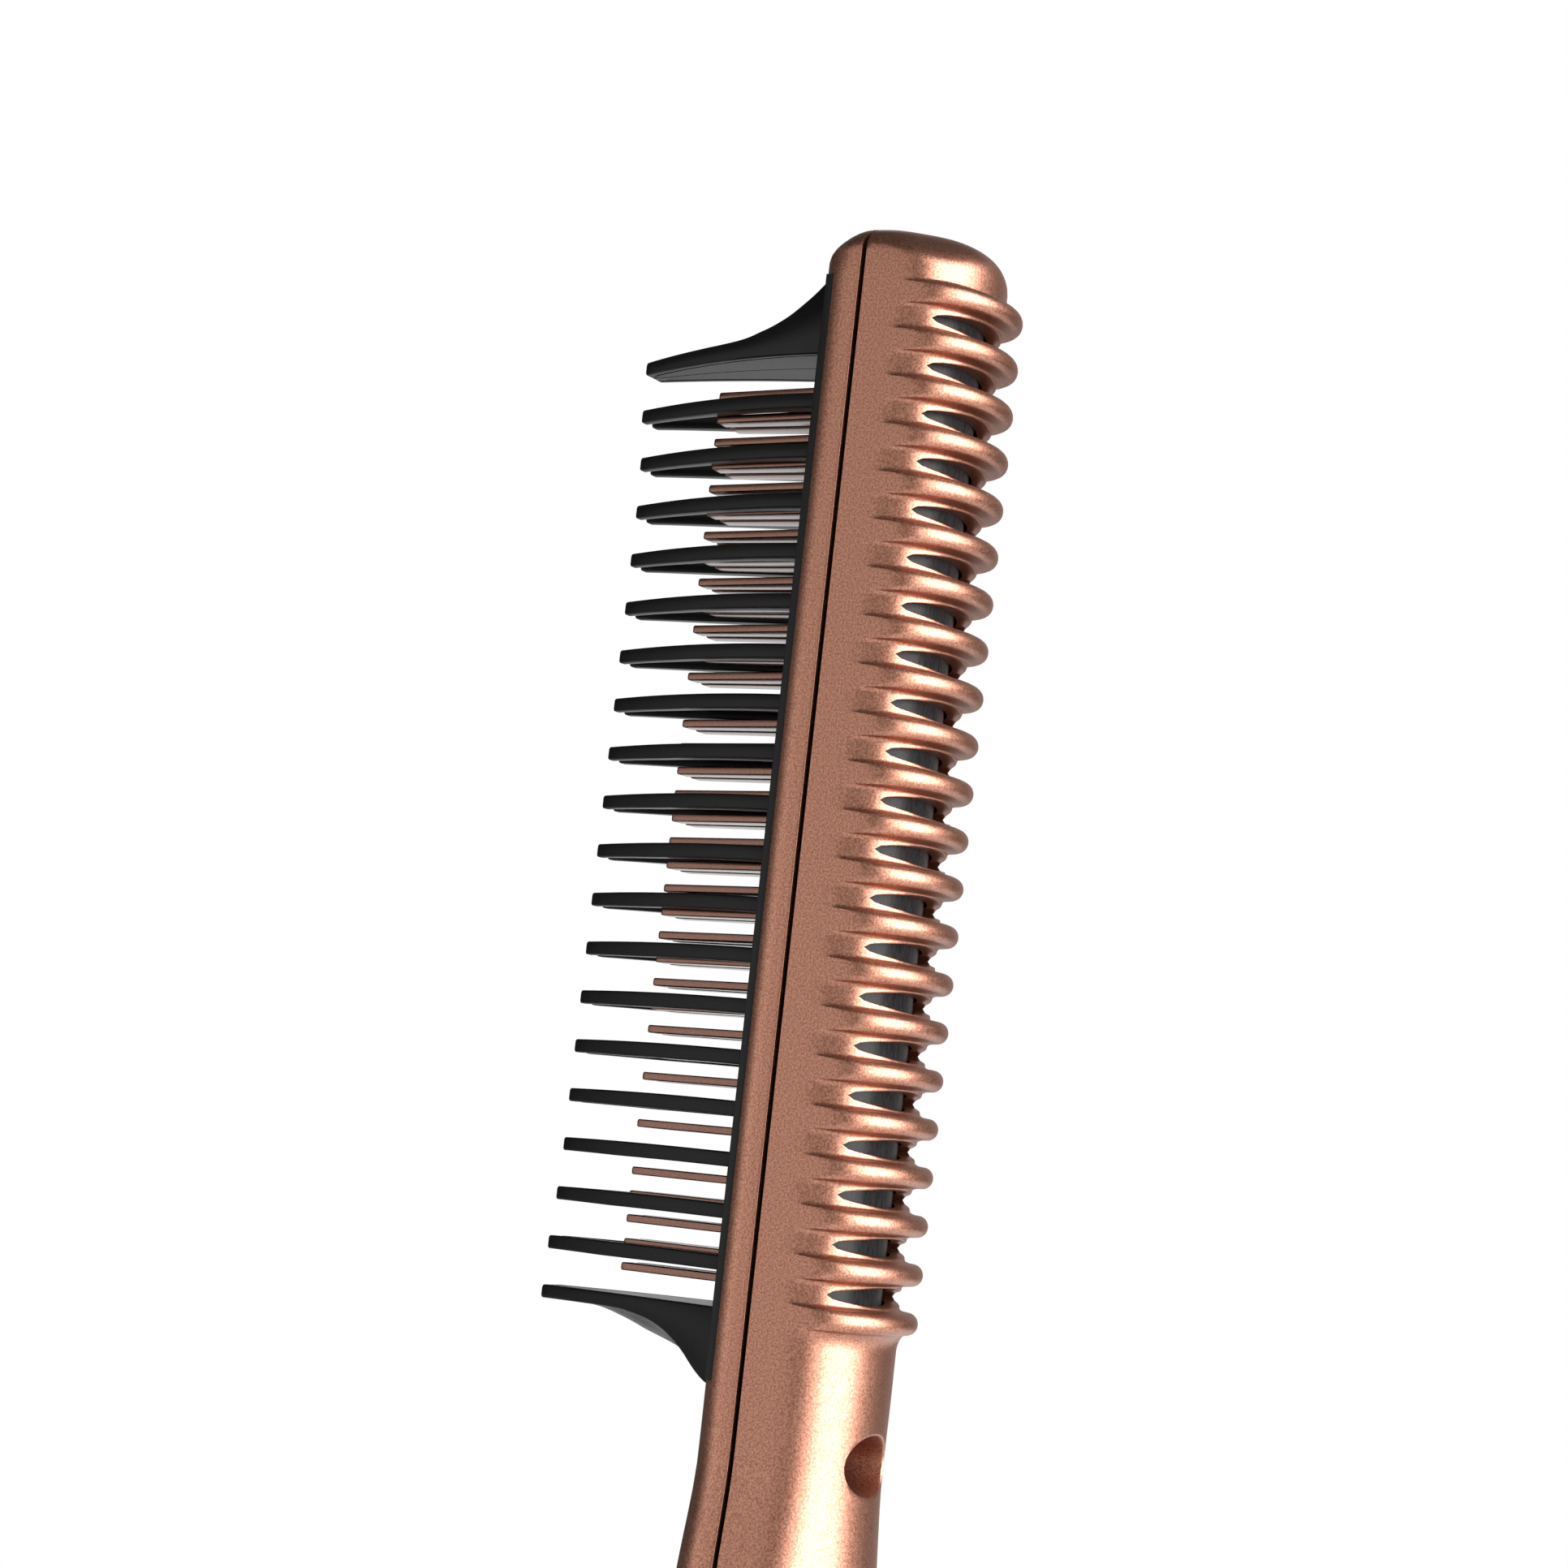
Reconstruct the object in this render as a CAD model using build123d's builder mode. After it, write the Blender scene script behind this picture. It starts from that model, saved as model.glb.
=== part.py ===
from build123d import *
import os
from math import sqrt

# A hair straightening brush: a heated comb head with a ribbed, slotted back, on a straight handle.
# Millimetres. Z runs up the brush from the tail face, -Y is the side of the teeth, +Y the ribbed back.

# Whole brush
TOTAL_LENGTH = 280.0
PARTING_Y = -3.8

# Head section: flat front, straight sides and an arched back
HEAD_HALF_WIDTH = 11.5
HEAD_FRONT_Y = -10.1
HEAD_BACK_Y = 9.8
HEAD_BACK_RADIUS = 16.6
HEAD_FRONT_CORNER = 3.5
HEAD_BACK_CORNER = 7.5
CROWN_BACK_RADIUS = 5.0
CROWN_FRONT_RADIUS = 4.6
CROWN_SIDE_RADIUS = 4.6
CROWN_RISE = 0.6
SHELL_WALL = 2.0

# Ribs and slots of the back
RIB_COUNT = 22
RIB_PITCH = 6.05
RIB_TOP_GAP = 9.7
RIB_THICKNESS = 2.7
RIB_BEVEL = 0.95
RIB_HEIGHT = 3.05
RIB_SIDE_INSET = 0.12
VALLEY_DROP = 0.5
VALLEY_WALL = 1.4
SLOT_HALF_LENGTH = 10.0
SLOT_HALF_HEIGHT = 1.1

# Comb guard: a black frame with rows of paired blades
GUARD_TOP_GAP = 7.2
GUARD_LENGTH = 138.6
GUARD_PROUD = 1.1
GUARD_DEPTH = 1.2
LEDGE_Y = -8.0
LEDGE_WIDTH = 1.6
GUARD_LIP_INSET = 0.6
GUARD_FIT = 0.1
ROW_COUNT = 20
ROW_PITCH = 6.335
ROW_TOP_GAP = 17.7
ROW_THICKNESS = 1.6
BLADE_LENGTH = 27.8
BLADE_BASE = 8.6
BLADE_MID = 6.1
BLADE_TIP = 1.9
BLADE_BASE_WIDTH = 2.0
BLADE_MID_WIDTH = 1.7
BLADE_TIP_WIDTH = 1.2
BLADE_ROUND = 0.5
TOP_TIP_EXTRA = (1.2, 0.8, 0.2)
BOTTOM_TIP_EXTRA = (0.7, 0.6, 0.2)

# Webs of the two end rows: distance from the guard's face, rise above the row
TOP_WEB = ((15.0, 1.5), (10.0, 2.85), (5.0, 5.9), (0.5, 9.0))
BOTTOM_WEB = ((13.8, 0.8), (10.0, 1.65), (3.2, 4.35), (0.7, 6.7))
WEB_RIM = 1.1
WEB_RECESS = 0.4
WINDOW_HALF_WIDTH = 5.4
WINDOW_ROW_GAP = 1.2

# Heated comb: a plate with two columns of short fins
FIN_COUNT = 37
FIN_PITCH = 3.022
FIN_TOP_GAP = 24.4
FIN_THICKNESS = 1.0
FIN_LENGTH = 16.7
FIN_BASE = 4.9
FIN_TIP = 3.25
FIN_MIDDLE_GAP = 0.6
FIN_ROUND = 0.42
HEATER_PLATE_HALF_WIDTH = 8.2
HEATER_PLATE_THICKNESS = 2.0
HEATER_PLATE_OVERHANG = 3.0

# Heater stack behind the plate
CERAMIC_THICKNESS = 1.2
CERAMIC_HALF_WIDTH = 5.0
CERAMIC_LENGTH = 50.0
CERAMIC_GAP = 4.0
MICA_THICKNESS = 0.4
CLAMP_THICKNESS = 1.0
STACK_SCREW_X = 6.7
STACK_SCREW_END_GAP = 12.0
SCREW_RADIUS = 0.9
SCREW_CLEARANCE = 0.2
SCREW_HEAD_RADIUS = 1.7
SCREW_HEAD_HEIGHT = 1.0
SCREW_BITE = 1.5
SCREW_FIT = 0.03
BOARD_SCREW_BITE = 4.0
NECK_SCREW_BITE = 6.0
FUSE_LINK_RADIUS = 1.6
FUSE_LINK_LENGTH = 10.0
THERMISTOR_SIZE = (3.0, 1.5, 5.0)

# Black liner seen through the slots
LINER_GAP = 0.6
LINER_WALL = 1.0
LINER_SEAT_GAP = 0.3
LINER_SEAM = 0.1
LINER_END_GAP = 3.0

# Tabs that hold the guard's ends
TAB_THICKNESS = 2.0
TAB_LENGTH = 6.2
TAB_SCREW_X = 5.5

# Handle stations: height, half width, front, back, back radius, front corner, back corner
HANDLE_STATIONS = (
    (125.5, 11.55, -10.1, 9.7, 16.6, 3.6, 7.5),
    (111.0, 13.1, -10.7, 10.4, 16.8, 4.8, 8.0),
    (92.0, 14.3, -12.1, 11.8, 17.0, 6.5, 8.6),
    (66.0, 14.6, -12.4, 12.4, 17.2, 7.4, 9.0),
    (38.0, 14.2, -12.4, 12.2, 17.0, 7.2, 9.0),
    (16.0, 13.0, -11.8, 11.6, 15.6, 6.8, 8.4),
)
TAIL_HALF_WIDTH = 12.4
TAIL_HALF_DEPTH = 11.3
TAIL_BACK_RADIUS = 14.8
TAIL_CORNER = 7.0
TAIL_CAP_HEIGHT = 4.0
TAIL_CAP_ROUND = 1.4
SPIGOT_LENGTH = 6.0
SPIGOT_FIT = 0.1
SPIGOT_WALL = 1.5

# Screw well on the back of the neck
WELL_BELOW_TOP = 154.2
WELL_HALF_WIDTH = 5.25
WELL_HALF_HEIGHT = 3.75
WELL_DEPTH = 8.5
WELL_WALL = 1.2
WELL_FLOOR = 1.5
NECK_SCREW_RADIUS = 1.4
NECK_SCREW_HEAD = 2.7
NECK_SCREW_HEAD_HEIGHT = 1.8
NECK_BOSS_RADIUS = 3.2
BOSS_GAP = 0.1

# Controls on the front of the handle
PANEL_HALF_WIDTH = 6.3
PANEL_BOTTOM = 38.0
PANEL_TOP = 92.0
PANEL_THICKNESS = 0.8
PANEL_FACE_Y = -12.0
PANEL_FIT = 0.1
BUTTON_RADIUS = 3.7
BUTTON_CLEARANCE = 0.25
BUTTON_PROUD = 0.9
BUTTON_EDGE = 0.4
BUTTON_FLANGE_RADIUS = 4.7
BUTTON_FLANGE_THICKNESS = 0.8
BUTTON_FLANGE_GAP = 0.15
BUTTON_STEM_RADIUS = 1.5
BUTTON_TRAVEL = 0.5
POWER_Z = 64.5
PLUS_Z = 53.8
MINUS_Z = 43.8
DISPLAY_Z = 79.5
DISPLAY_HALF_WIDTH = 4.4
DISPLAY_HALF_HEIGHT = 7.0
DISPLAY_CORNER = 1.5
DISPLAY_LEDGE = 0.8
DISPLAY_GAP = 0.3

# Electronics in the handle
BOARD_Y = -4.6
BOARD_THICKNESS = 1.6
BOARD_HALF_WIDTH = 9.4
BOARD_BOTTOM = 26.0
BOARD_TOP = 112.0
BOARD_SCREW_X = 7.0
BOARD_SCREW_END = 5.0
BOARD_BOSS_RADIUS = 2.2
SWITCH_SIZE = 6.0
SWITCH_PLUNGER_RADIUS = 1.4
SWITCH_BODY_HEIGHT = 2.0
SWITCH_PLUNGER_HEIGHT = 0.8
TERMINAL_HALF_WIDTH = 9.0
TERMINAL_HEIGHT = 8.0
TERMINAL_DEPTH = 3.4
TRIAC_SIZE = (10.0, 4.5, 15.0)
TRIAC_PLACE = (-4.6, 92.0)
FILM_CAPACITOR_SIZE = (6.5, 9.0, 14.0)
FILM_CAPACITOR_PLACE = (4.8, 90.0)
CAPACITOR_EDGE = 0.5
ELECTROLYTIC_RADIUS = 4.0
ELECTROLYTIC_LENGTH = 13.0
ELECTROLYTIC_PLACE = (4.6, 44.0)
FUSE_RADIUS = 2.3
FUSE_LENGTH = 18.0
FUSE_PLACE = (-5.4, 44.0)
CHIP_SIZE = (7.0, 1.3, 7.0)
CHIP_PLACE = (0.0, 68.0)
LEAD_RADIUS = 0.7
LEAD_X = 7.3
LEAD_LAP = 8.0
LEAD_OFF_CLAMP = 0.1

# Swivel in the tail
GLAND_RADIUS = 5.5
GLAND_FIT = 0.08
GLAND_COLLAR_RADIUS = 7.4
GLAND_END_PLAY = 0.15
GLAND_STEM_RADIUS = 2.6
CORD_BORE_RADIUS = 3.2
CORD_BORE_DEPTH = 9.0
RING_WALL = 0.8
RING_WIDTH = 2.6
RING_GAPS = (2.0, 7.6)
STEM_END = 1.8
FINGER_GAP = 0.3
FINGER_THICKNESS = 0.5
FINGER_WIDTH = 2.0
FINGER_HALF_LENGTH = 3.6
BLOCK_FLOOR = 2.0
BLOCK_HOLE_GAP = 0.6
BLOCK_POST_DEPTH = 3.0
BLOCK_POST_HALF_WIDTH = 4.0
BLOCK_POST_HEIGHT = 11.6

# Levels that follow from the sizes above
RIB_TOP_Z = TOTAL_LENGTH - RIB_TOP_GAP
RIB_BOTTOM_Z = RIB_TOP_Z - (RIB_COUNT - 1) * RIB_PITCH
GUARD_TOP_Z = TOTAL_LENGTH - GUARD_TOP_GAP
GUARD_BOTTOM_Z = GUARD_TOP_Z - GUARD_LENGTH
GUARD_FACE_Y = LEDGE_Y - GUARD_PROUD
GUARD_BACK_Y = LEDGE_Y + GUARD_DEPTH
ROW_TOP_Z = TOTAL_LENGTH - ROW_TOP_GAP
ROW_BOTTOM_Z = ROW_TOP_Z - (ROW_COUNT - 1) * ROW_PITCH
FIN_TOP_Z = TOTAL_LENGTH - FIN_TOP_GAP
FIN_BOTTOM_Z = FIN_TOP_Z - (FIN_COUNT - 1) * FIN_PITCH
FIN_MIDDLE_Z = (FIN_TOP_Z + FIN_BOTTOM_Z) / 2
VALLEY_BACK_Y = HEAD_BACK_Y - VALLEY_DROP
PLATE_BACK_Y = GUARD_BACK_Y + HEATER_PLATE_THICKNESS
CERAMIC_BACK_Y = PLATE_BACK_Y + CERAMIC_THICKNESS
MICA_BACK_Y = CERAMIC_BACK_Y + MICA_THICKNESS
CLAMP_BACK_Y = MICA_BACK_Y + CLAMP_THICKNESS
PLATE_TOP_Z = FIN_TOP_Z + HEATER_PLATE_OVERHANG
PLATE_BOTTOM_Z = FIN_BOTTOM_Z - HEATER_PLATE_OVERHANG
WELL_Z = TOTAL_LENGTH - WELL_BELOW_TOP
NECK_Z = GUARD_BOTTOM_Z
WELL_FLOOR_Y = HEAD_BACK_Y - WELL_DEPTH
WELL_OUTER_Y = HEAD_BACK_Y - SHELL_WALL + VALLEY_DROP
NECK_BOSS_Y = WELL_FLOOR_Y - WELL_FLOOR - BOSS_GAP
TOP_TAB_BOTTOM_Z = GUARD_TOP_Z - TAB_LENGTH
TOP_TAB_TOP_Z = TOTAL_LENGTH - SHELL_WALL
LINER_FRONT_Y = PARTING_Y + LINER_SEAT_GAP
LINER_TOP_Z = GUARD_TOP_Z - LINER_END_GAP
LINER_BOTTOM_Z = GUARD_BOTTOM_Z + TAB_LENGTH + BOSS_GAP
LINER_INSET = VALLEY_WALL + LINER_GAP
OPENING_HALF_WIDTH = HEAD_HALF_WIDTH - LEDGE_WIDTH
PANEL_MIDDLE_Z = (PANEL_BOTTOM + PANEL_TOP) / 2
PANEL_BACK_Y = PANEL_FACE_Y + PANEL_THICKNESS
BOARD_BACK_Y = BOARD_Y + BOARD_THICKNESS
BOARD_MIDDLE_Z = (BOARD_BOTTOM + BOARD_TOP) / 2
BUTTON_HEIGHTS = (POWER_Z, PLUS_Z, MINUS_Z)
FLANGE_FACE_Y = HANDLE_STATIONS[3][2] + SHELL_WALL + BUTTON_FLANGE_GAP
PLUNGER_Y = BOARD_Y - SWITCH_BODY_HEIGHT - SWITCH_PLUNGER_HEIGHT
STEM_END_Y = PLUNGER_Y - BUTTON_TRAVEL - BUTTON_FLANGE_GAP
LEAD_Y = CLAMP_BACK_Y + LEAD_OFF_CLAMP + LEAD_RADIUS
LEAD_TOP_Z = PLATE_BOTTOM_Z + LEAD_LAP
SPIGOT_TOP_Z = TAIL_CAP_HEIGHT + SPIGOT_LENGTH
COLLAR_BOTTOM_Z = TAIL_CAP_HEIGHT + GLAND_END_PLAY
COLLAR_TOP_Z = SPIGOT_TOP_Z - GLAND_END_PLAY
BLOCK_TOP_Z = SPIGOT_TOP_Z + BLOCK_FLOOR
RING_RADIUS = GLAND_STEM_RADIUS + RING_WALL
RING_HEIGHTS = [BLOCK_TOP_Z + gap + RING_WIDTH / 2 for gap in RING_GAPS]
STEM_TOP_Z = RING_HEIGHTS[-1] + RING_WIDTH / 2 + STEM_END
FINGER_X = RING_RADIUS + FINGER_GAP
POST_X = FINGER_X + FINGER_THICKNESS
STACK_SCREWS = [
    (-STACK_SCREW_X, PLATE_BOTTOM_Z + STACK_SCREW_END_GAP),
    (STACK_SCREW_X, PLATE_BOTTOM_Z + STACK_SCREW_END_GAP),
    (-STACK_SCREW_X, PLATE_TOP_Z - STACK_SCREW_END_GAP),
    (STACK_SCREW_X, PLATE_TOP_Z - STACK_SCREW_END_GAP),
]
TAB_SCREWS = [
    (-TAB_SCREW_X, GUARD_BOTTOM_Z + TAB_LENGTH / 2),
    (TAB_SCREW_X, GUARD_BOTTOM_Z + TAB_LENGTH / 2),
    (-TAB_SCREW_X, GUARD_TOP_Z - TAB_LENGTH / 2),
    (TAB_SCREW_X, GUARD_TOP_Z - TAB_LENGTH / 2),
]
BOARD_SCREWS = [
    (-BOARD_SCREW_X, BOARD_BOTTOM + BOARD_SCREW_END),
    (BOARD_SCREW_X, BOARD_BOTTOM + BOARD_SCREW_END),
    (-BOARD_SCREW_X, BOARD_TOP - BOARD_SCREW_END),
    (BOARD_SCREW_X, BOARD_TOP - BOARD_SCREW_END),
]

os.makedirs("parts", exist_ok=True)


def facing_front(y):
    """A plane square to Y: X across the brush, Z up it, and the normal towards the teeth."""
    return Plane.XZ.offset(-y)


def body_outline(half_width, front_y, back_y, back_radius, front_corner, back_corner):
    """Flat front, straight sides and an arched back, with rounded corners."""
    shoulder_y = back_y - back_radius + sqrt(back_radius**2 - half_width**2)
    with BuildSketch() as outline:
        with BuildLine():
            Polyline(
                (-half_width, shoulder_y),
                (-half_width, front_y),
                (half_width, front_y),
                (half_width, shoulder_y),
            )
            ThreePointArc((half_width, shoulder_y), (0, back_y), (-half_width, shoulder_y))
        make_face()
        fillet(outline.vertices().group_by(Axis.Y)[0], front_corner)
        fillet(outline.vertices().group_by(Axis.Y)[-1], back_corner)
    return outline.sketch


def head_outline(inset, back_y):
    """The head's section, drawn in all round by the inset."""
    return body_outline(
        HEAD_HALF_WIDTH - inset,
        HEAD_FRONT_Y + inset,
        back_y - inset,
        HEAD_BACK_RADIUS - inset,
        HEAD_FRONT_CORNER - inset,
        HEAD_BACK_CORNER - inset,
    )


def tail_outline(inset):
    """The handle's section where the shells meet the tail cap, drawn in by the inset."""
    return body_outline(
        TAIL_HALF_WIDTH - inset,
        -TAIL_HALF_DEPTH + inset,
        TAIL_HALF_DEPTH - inset,
        TAIL_BACK_RADIUS - inset,
        TAIL_CORNER - inset,
        TAIL_CORNER - inset,
    )


def crown_view(low, high, low_radius, high_radius, inset):
    """One view of the head's rounded end, from the first rib up to the crowned top."""
    edge_z = TOTAL_LENGTH - CROWN_RISE - inset
    middle = (low + high) / 2
    with BuildSketch() as view:
        with BuildLine():
            Polyline((low, edge_z), (low, RIB_TOP_Z), (high, RIB_TOP_Z), (high, edge_z))
            ThreePointArc((high, edge_z), (middle, edge_z + CROWN_RISE), (low, edge_z))
        make_face()
        corners = view.vertices().group_by(Axis.Y)[-1].sort_by(Axis.X)
        fillet(corners[0], low_radius - inset)
        corners = view.vertices().group_by(Axis.X)[-1].sort_by(Axis.Y)
        fillet(corners[-1], high_radius - inset)
    return view.sketch


def body_blank(inset, valley_inset):
    """The whole body as one closed form; drawn in by insets, it is the hollow inside the shells."""
    low = HEAD_FRONT_Y + inset
    high = HEAD_BACK_Y - inset
    half = HEAD_HALF_WIDTH - inset
    with BuildPart() as blank:
        with BuildSketch(Plane.XY.offset(RIB_TOP_Z)):
            add(head_outline(inset, HEAD_BACK_Y))
        extrude(amount=TOTAL_LENGTH - RIB_TOP_Z)
        with BuildSketch(Plane.YZ):
            add(crown_view(low, high, CROWN_FRONT_RADIUS, CROWN_BACK_RADIUS, inset))
        extrude(amount=HEAD_HALF_WIDTH, both=True, mode=Mode.INTERSECT)
        with BuildSketch(Plane.XZ):
            add(crown_view(-half, half, CROWN_SIDE_RADIUS, CROWN_SIDE_RADIUS, inset))
        extrude(amount=HEAD_BACK_RADIUS, both=True, mode=Mode.INTERSECT)
        with BuildSketch(Plane.XY.offset(RIB_BOTTOM_Z)):
            add(head_outline(valley_inset, VALLEY_BACK_Y))
        extrude(amount=RIB_TOP_Z - RIB_BOTTOM_Z)
        with BuildSketch(Plane.XY.offset(NECK_Z)):
            add(head_outline(inset, HEAD_BACK_Y))
        extrude(amount=RIB_BOTTOM_Z - NECK_Z)
        with BuildSketch(Plane.XY.offset(NECK_Z)):
            add(head_outline(inset, HEAD_BACK_Y))
        for height, half_width, front_y, back_y, radius, front_corner, back_corner in HANDLE_STATIONS:
            with BuildSketch(Plane.XY.offset(height)):
                add(
                    body_outline(
                        half_width - inset,
                        front_y + inset,
                        back_y - inset,
                        radius - inset,
                        front_corner - inset,
                        back_corner - inset,
                    )
                )
        with BuildSketch(Plane.XY.offset(TAIL_CAP_HEIGHT)):
            add(tail_outline(inset))
        loft(ruled=inset > 0)
    return blank.part


def rib_row():
    """All ribs: copies of the head's section pushed back, each with a bevelled nose."""
    with BuildPart() as rib:
        with BuildSketch(Plane.XY.offset(RIB_TOP_Z)):
            add(
                body_outline(
                    HEAD_HALF_WIDTH - RIB_SIDE_INSET,
                    PARTING_Y + SHELL_WALL,
                    VALLEY_BACK_Y + RIB_HEIGHT,
                    HEAD_BACK_RADIUS,
                    SHELL_WALL,
                    HEAD_BACK_CORNER,
                )
            )
        extrude(amount=RIB_THICKNESS / 2, both=True)
        rims = rib.edges().group_by(Axis.Z)
        chamfer(rims[0] + rims[-1], RIB_BEVEL)
    with BuildPart() as ribs:
        with Locations([(0, 0, -i * RIB_PITCH) for i in range(RIB_COUNT)]):
            add(rib.part)
    return ribs.part


def slot_outline():
    """A slot as a lens: two shallow arcs that meet in a point at each side."""
    with BuildSketch() as outline:
        with BuildLine():
            ends = ((-SLOT_HALF_LENGTH, 0), (SLOT_HALF_LENGTH, 0))
            ThreePointArc(ends[0], (0, SLOT_HALF_HEIGHT), ends[1])
            ThreePointArc(ends[1], (0, -SLOT_HALF_HEIGHT), ends[0])
        make_face()
    return outline.sketch


def blade_outline(extra):
    """One row seen from the end of the brush: a pair of blades that lean in to their tips."""
    tip_y = GUARD_FACE_Y - BLADE_LENGTH - extra
    middle_y = GUARD_FACE_Y - BLADE_LENGTH / 2
    inner_base = BLADE_BASE - BLADE_BASE_WIDTH
    inner_middle = BLADE_MID - BLADE_MID_WIDTH
    inner_tip = BLADE_TIP - BLADE_TIP_WIDTH
    with BuildSketch() as outline:
        with BuildLine():
            ThreePointArc((BLADE_BASE, GUARD_FACE_Y), (BLADE_MID, middle_y), (BLADE_TIP, tip_y))
            Line((BLADE_TIP, tip_y), (inner_tip, tip_y))
            ThreePointArc((inner_tip, tip_y), (inner_middle, middle_y), (inner_base, GUARD_FACE_Y))
            Polyline(
                (inner_base, GUARD_FACE_Y),
                (inner_base, LEDGE_Y),
                (BLADE_BASE, LEDGE_Y),
                (BLADE_BASE, GUARD_FACE_Y),
            )
        make_face()
        fillet(outline.vertices().group_by(Axis.Y)[0], BLADE_ROUND)
        mirror(about=Plane.YZ)
    return outline.sketch


def end_plate_outline(extra, inset):
    """An end row, closed from edge to edge; drawn in, it is the recess in that row's inner face."""
    tip_y = GUARD_FACE_Y - BLADE_LENGTH - extra + inset
    middle_y = GUARD_FACE_Y - BLADE_LENGTH / 2
    base = BLADE_BASE - inset
    middle = BLADE_MID - inset
    tip = BLADE_TIP - inset
    with BuildSketch() as outline:
        with BuildLine():
            ThreePointArc((base, GUARD_FACE_Y), (middle, middle_y), (tip, tip_y))
            Line((tip, tip_y), (-tip, tip_y))
            ThreePointArc((-tip, tip_y), (-middle, middle_y), (-base, GUARD_FACE_Y))
            Polyline((-base, GUARD_FACE_Y), (-base, LEDGE_Y), (base, LEDGE_Y), (base, GUARD_FACE_Y))
        make_face()
        fillet(outline.vertices().group_by(Axis.Y)[0], BLADE_ROUND)
    return outline.sketch


def end_web(row_z, outward, extra, web):
    """An end row with the curved web that carries it on the guard's plate."""
    inner_z = row_z - outward * ROW_THICKNESS / 2
    outer_z = row_z + outward * ROW_THICKNESS / 2
    tip_y = GUARD_FACE_Y - BLADE_LENGTH - extra
    root_z = outer_z + outward * web[-1][1]
    with BuildPart() as web_part:
        with BuildSketch(Plane.XY.offset(inner_z)):
            add(end_plate_outline(extra, 0))
        extrude(amount=root_z - inner_z)
        with BuildSketch(Plane.YZ):
            with BuildLine():
                curve = [(tip_y, outer_z)]
                curve += [(GUARD_FACE_Y - reach, outer_z + outward * rise) for reach, rise in web]
                Spline(curve)
                Polyline(
                    curve[-1],
                    (LEDGE_Y, root_z),
                    (LEDGE_Y, inner_z),
                    (tip_y, inner_z),
                    (tip_y, outer_z),
                )
            make_face()
        extrude(amount=HEAD_HALF_WIDTH, both=True, mode=Mode.INTERSECT)
        with BuildSketch(Plane.XY.offset(inner_z)):
            add(end_plate_outline(extra, WEB_RIM))
        extrude(amount=outward * WEB_RECESS, mode=Mode.SUBTRACT)
    return web_part.part


def fin_outline():
    """One pair of short fins, standing on the heated plate."""
    root_y = GUARD_BACK_Y + HEATER_PLATE_THICKNESS / 2
    tip_y = GUARD_FACE_Y - FIN_LENGTH
    with BuildSketch() as outline:
        with BuildLine():
            Polyline(
                (FIN_MIDDLE_GAP, root_y),
                (FIN_MIDDLE_GAP, tip_y),
                (FIN_TIP, tip_y),
                (FIN_BASE, GUARD_FACE_Y),
                (FIN_BASE, root_y),
                close=True,
            )
        make_face()
        fillet(outline.vertices().group_by(Axis.Y)[0], FIN_ROUND)
        mirror(about=Plane.YZ)
    return outline.sketch


def liner_half(side):
    """Half of the black liner: an arched trough that follows the back from inside."""
    with BuildPart() as half:
        with BuildSketch(Plane.XY.offset(LINER_BOTTOM_Z)):
            add(head_outline(LINER_INSET, VALLEY_BACK_Y))
            add(head_outline(LINER_INSET + LINER_WALL, VALLEY_BACK_Y), mode=Mode.SUBTRACT)
        extrude(amount=LINER_TOP_Z - LINER_BOTTOM_Z)
        split(bisect_by=facing_front(LINER_FRONT_Y), keep=Keep.BOTTOM)
        seam = Plane.YZ.offset(side * LINER_SEAM / 2)
        split(bisect_by=seam, keep=Keep.TOP if side > 0 else Keep.BOTTOM)
    return half.part


def push_button(height, radius):
    """A round key with its flange behind the casing and a stem to its switch."""
    with BuildPart() as button:
        with BuildSketch(facing_front(FLANGE_FACE_Y)):
            with Locations((0, height)):
                Circle(radius)
        extrude(amount=FLANGE_FACE_Y - PANEL_FACE_Y + BUTTON_PROUD)
        chamfer(button.edges().sort_by(Axis.Y)[0], BUTTON_EDGE)
        with BuildSketch(facing_front(FLANGE_FACE_Y + BUTTON_FLANGE_THICKNESS)):
            with Locations((0, height)):
                Circle(BUTTON_FLANGE_RADIUS)
        extrude(amount=BUTTON_FLANGE_THICKNESS)
        with BuildSketch(facing_front(STEM_END_Y)):
            with Locations((0, height)):
                Circle(BUTTON_STEM_RADIUS)
        extrude(amount=STEM_END_Y - FLANGE_FACE_Y)
    return button.part


def screws(places, seat_y, reach):
    """Screws whose heads sit on a face towards the back and whose shanks run to the front."""
    with BuildPart() as group:
        with BuildSketch(facing_front(seat_y + SCREW_HEAD_HEIGHT)):
            with Locations(places):
                Circle(SCREW_HEAD_RADIUS)
        extrude(amount=SCREW_HEAD_HEIGHT)
        with BuildSketch(facing_front(seat_y)):
            with Locations(places):
                Circle(SCREW_RADIUS)
        extrude(amount=reach)
    return group.part


outer_form = body_blank(0, 0)
rib_forms = rib_row()

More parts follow.
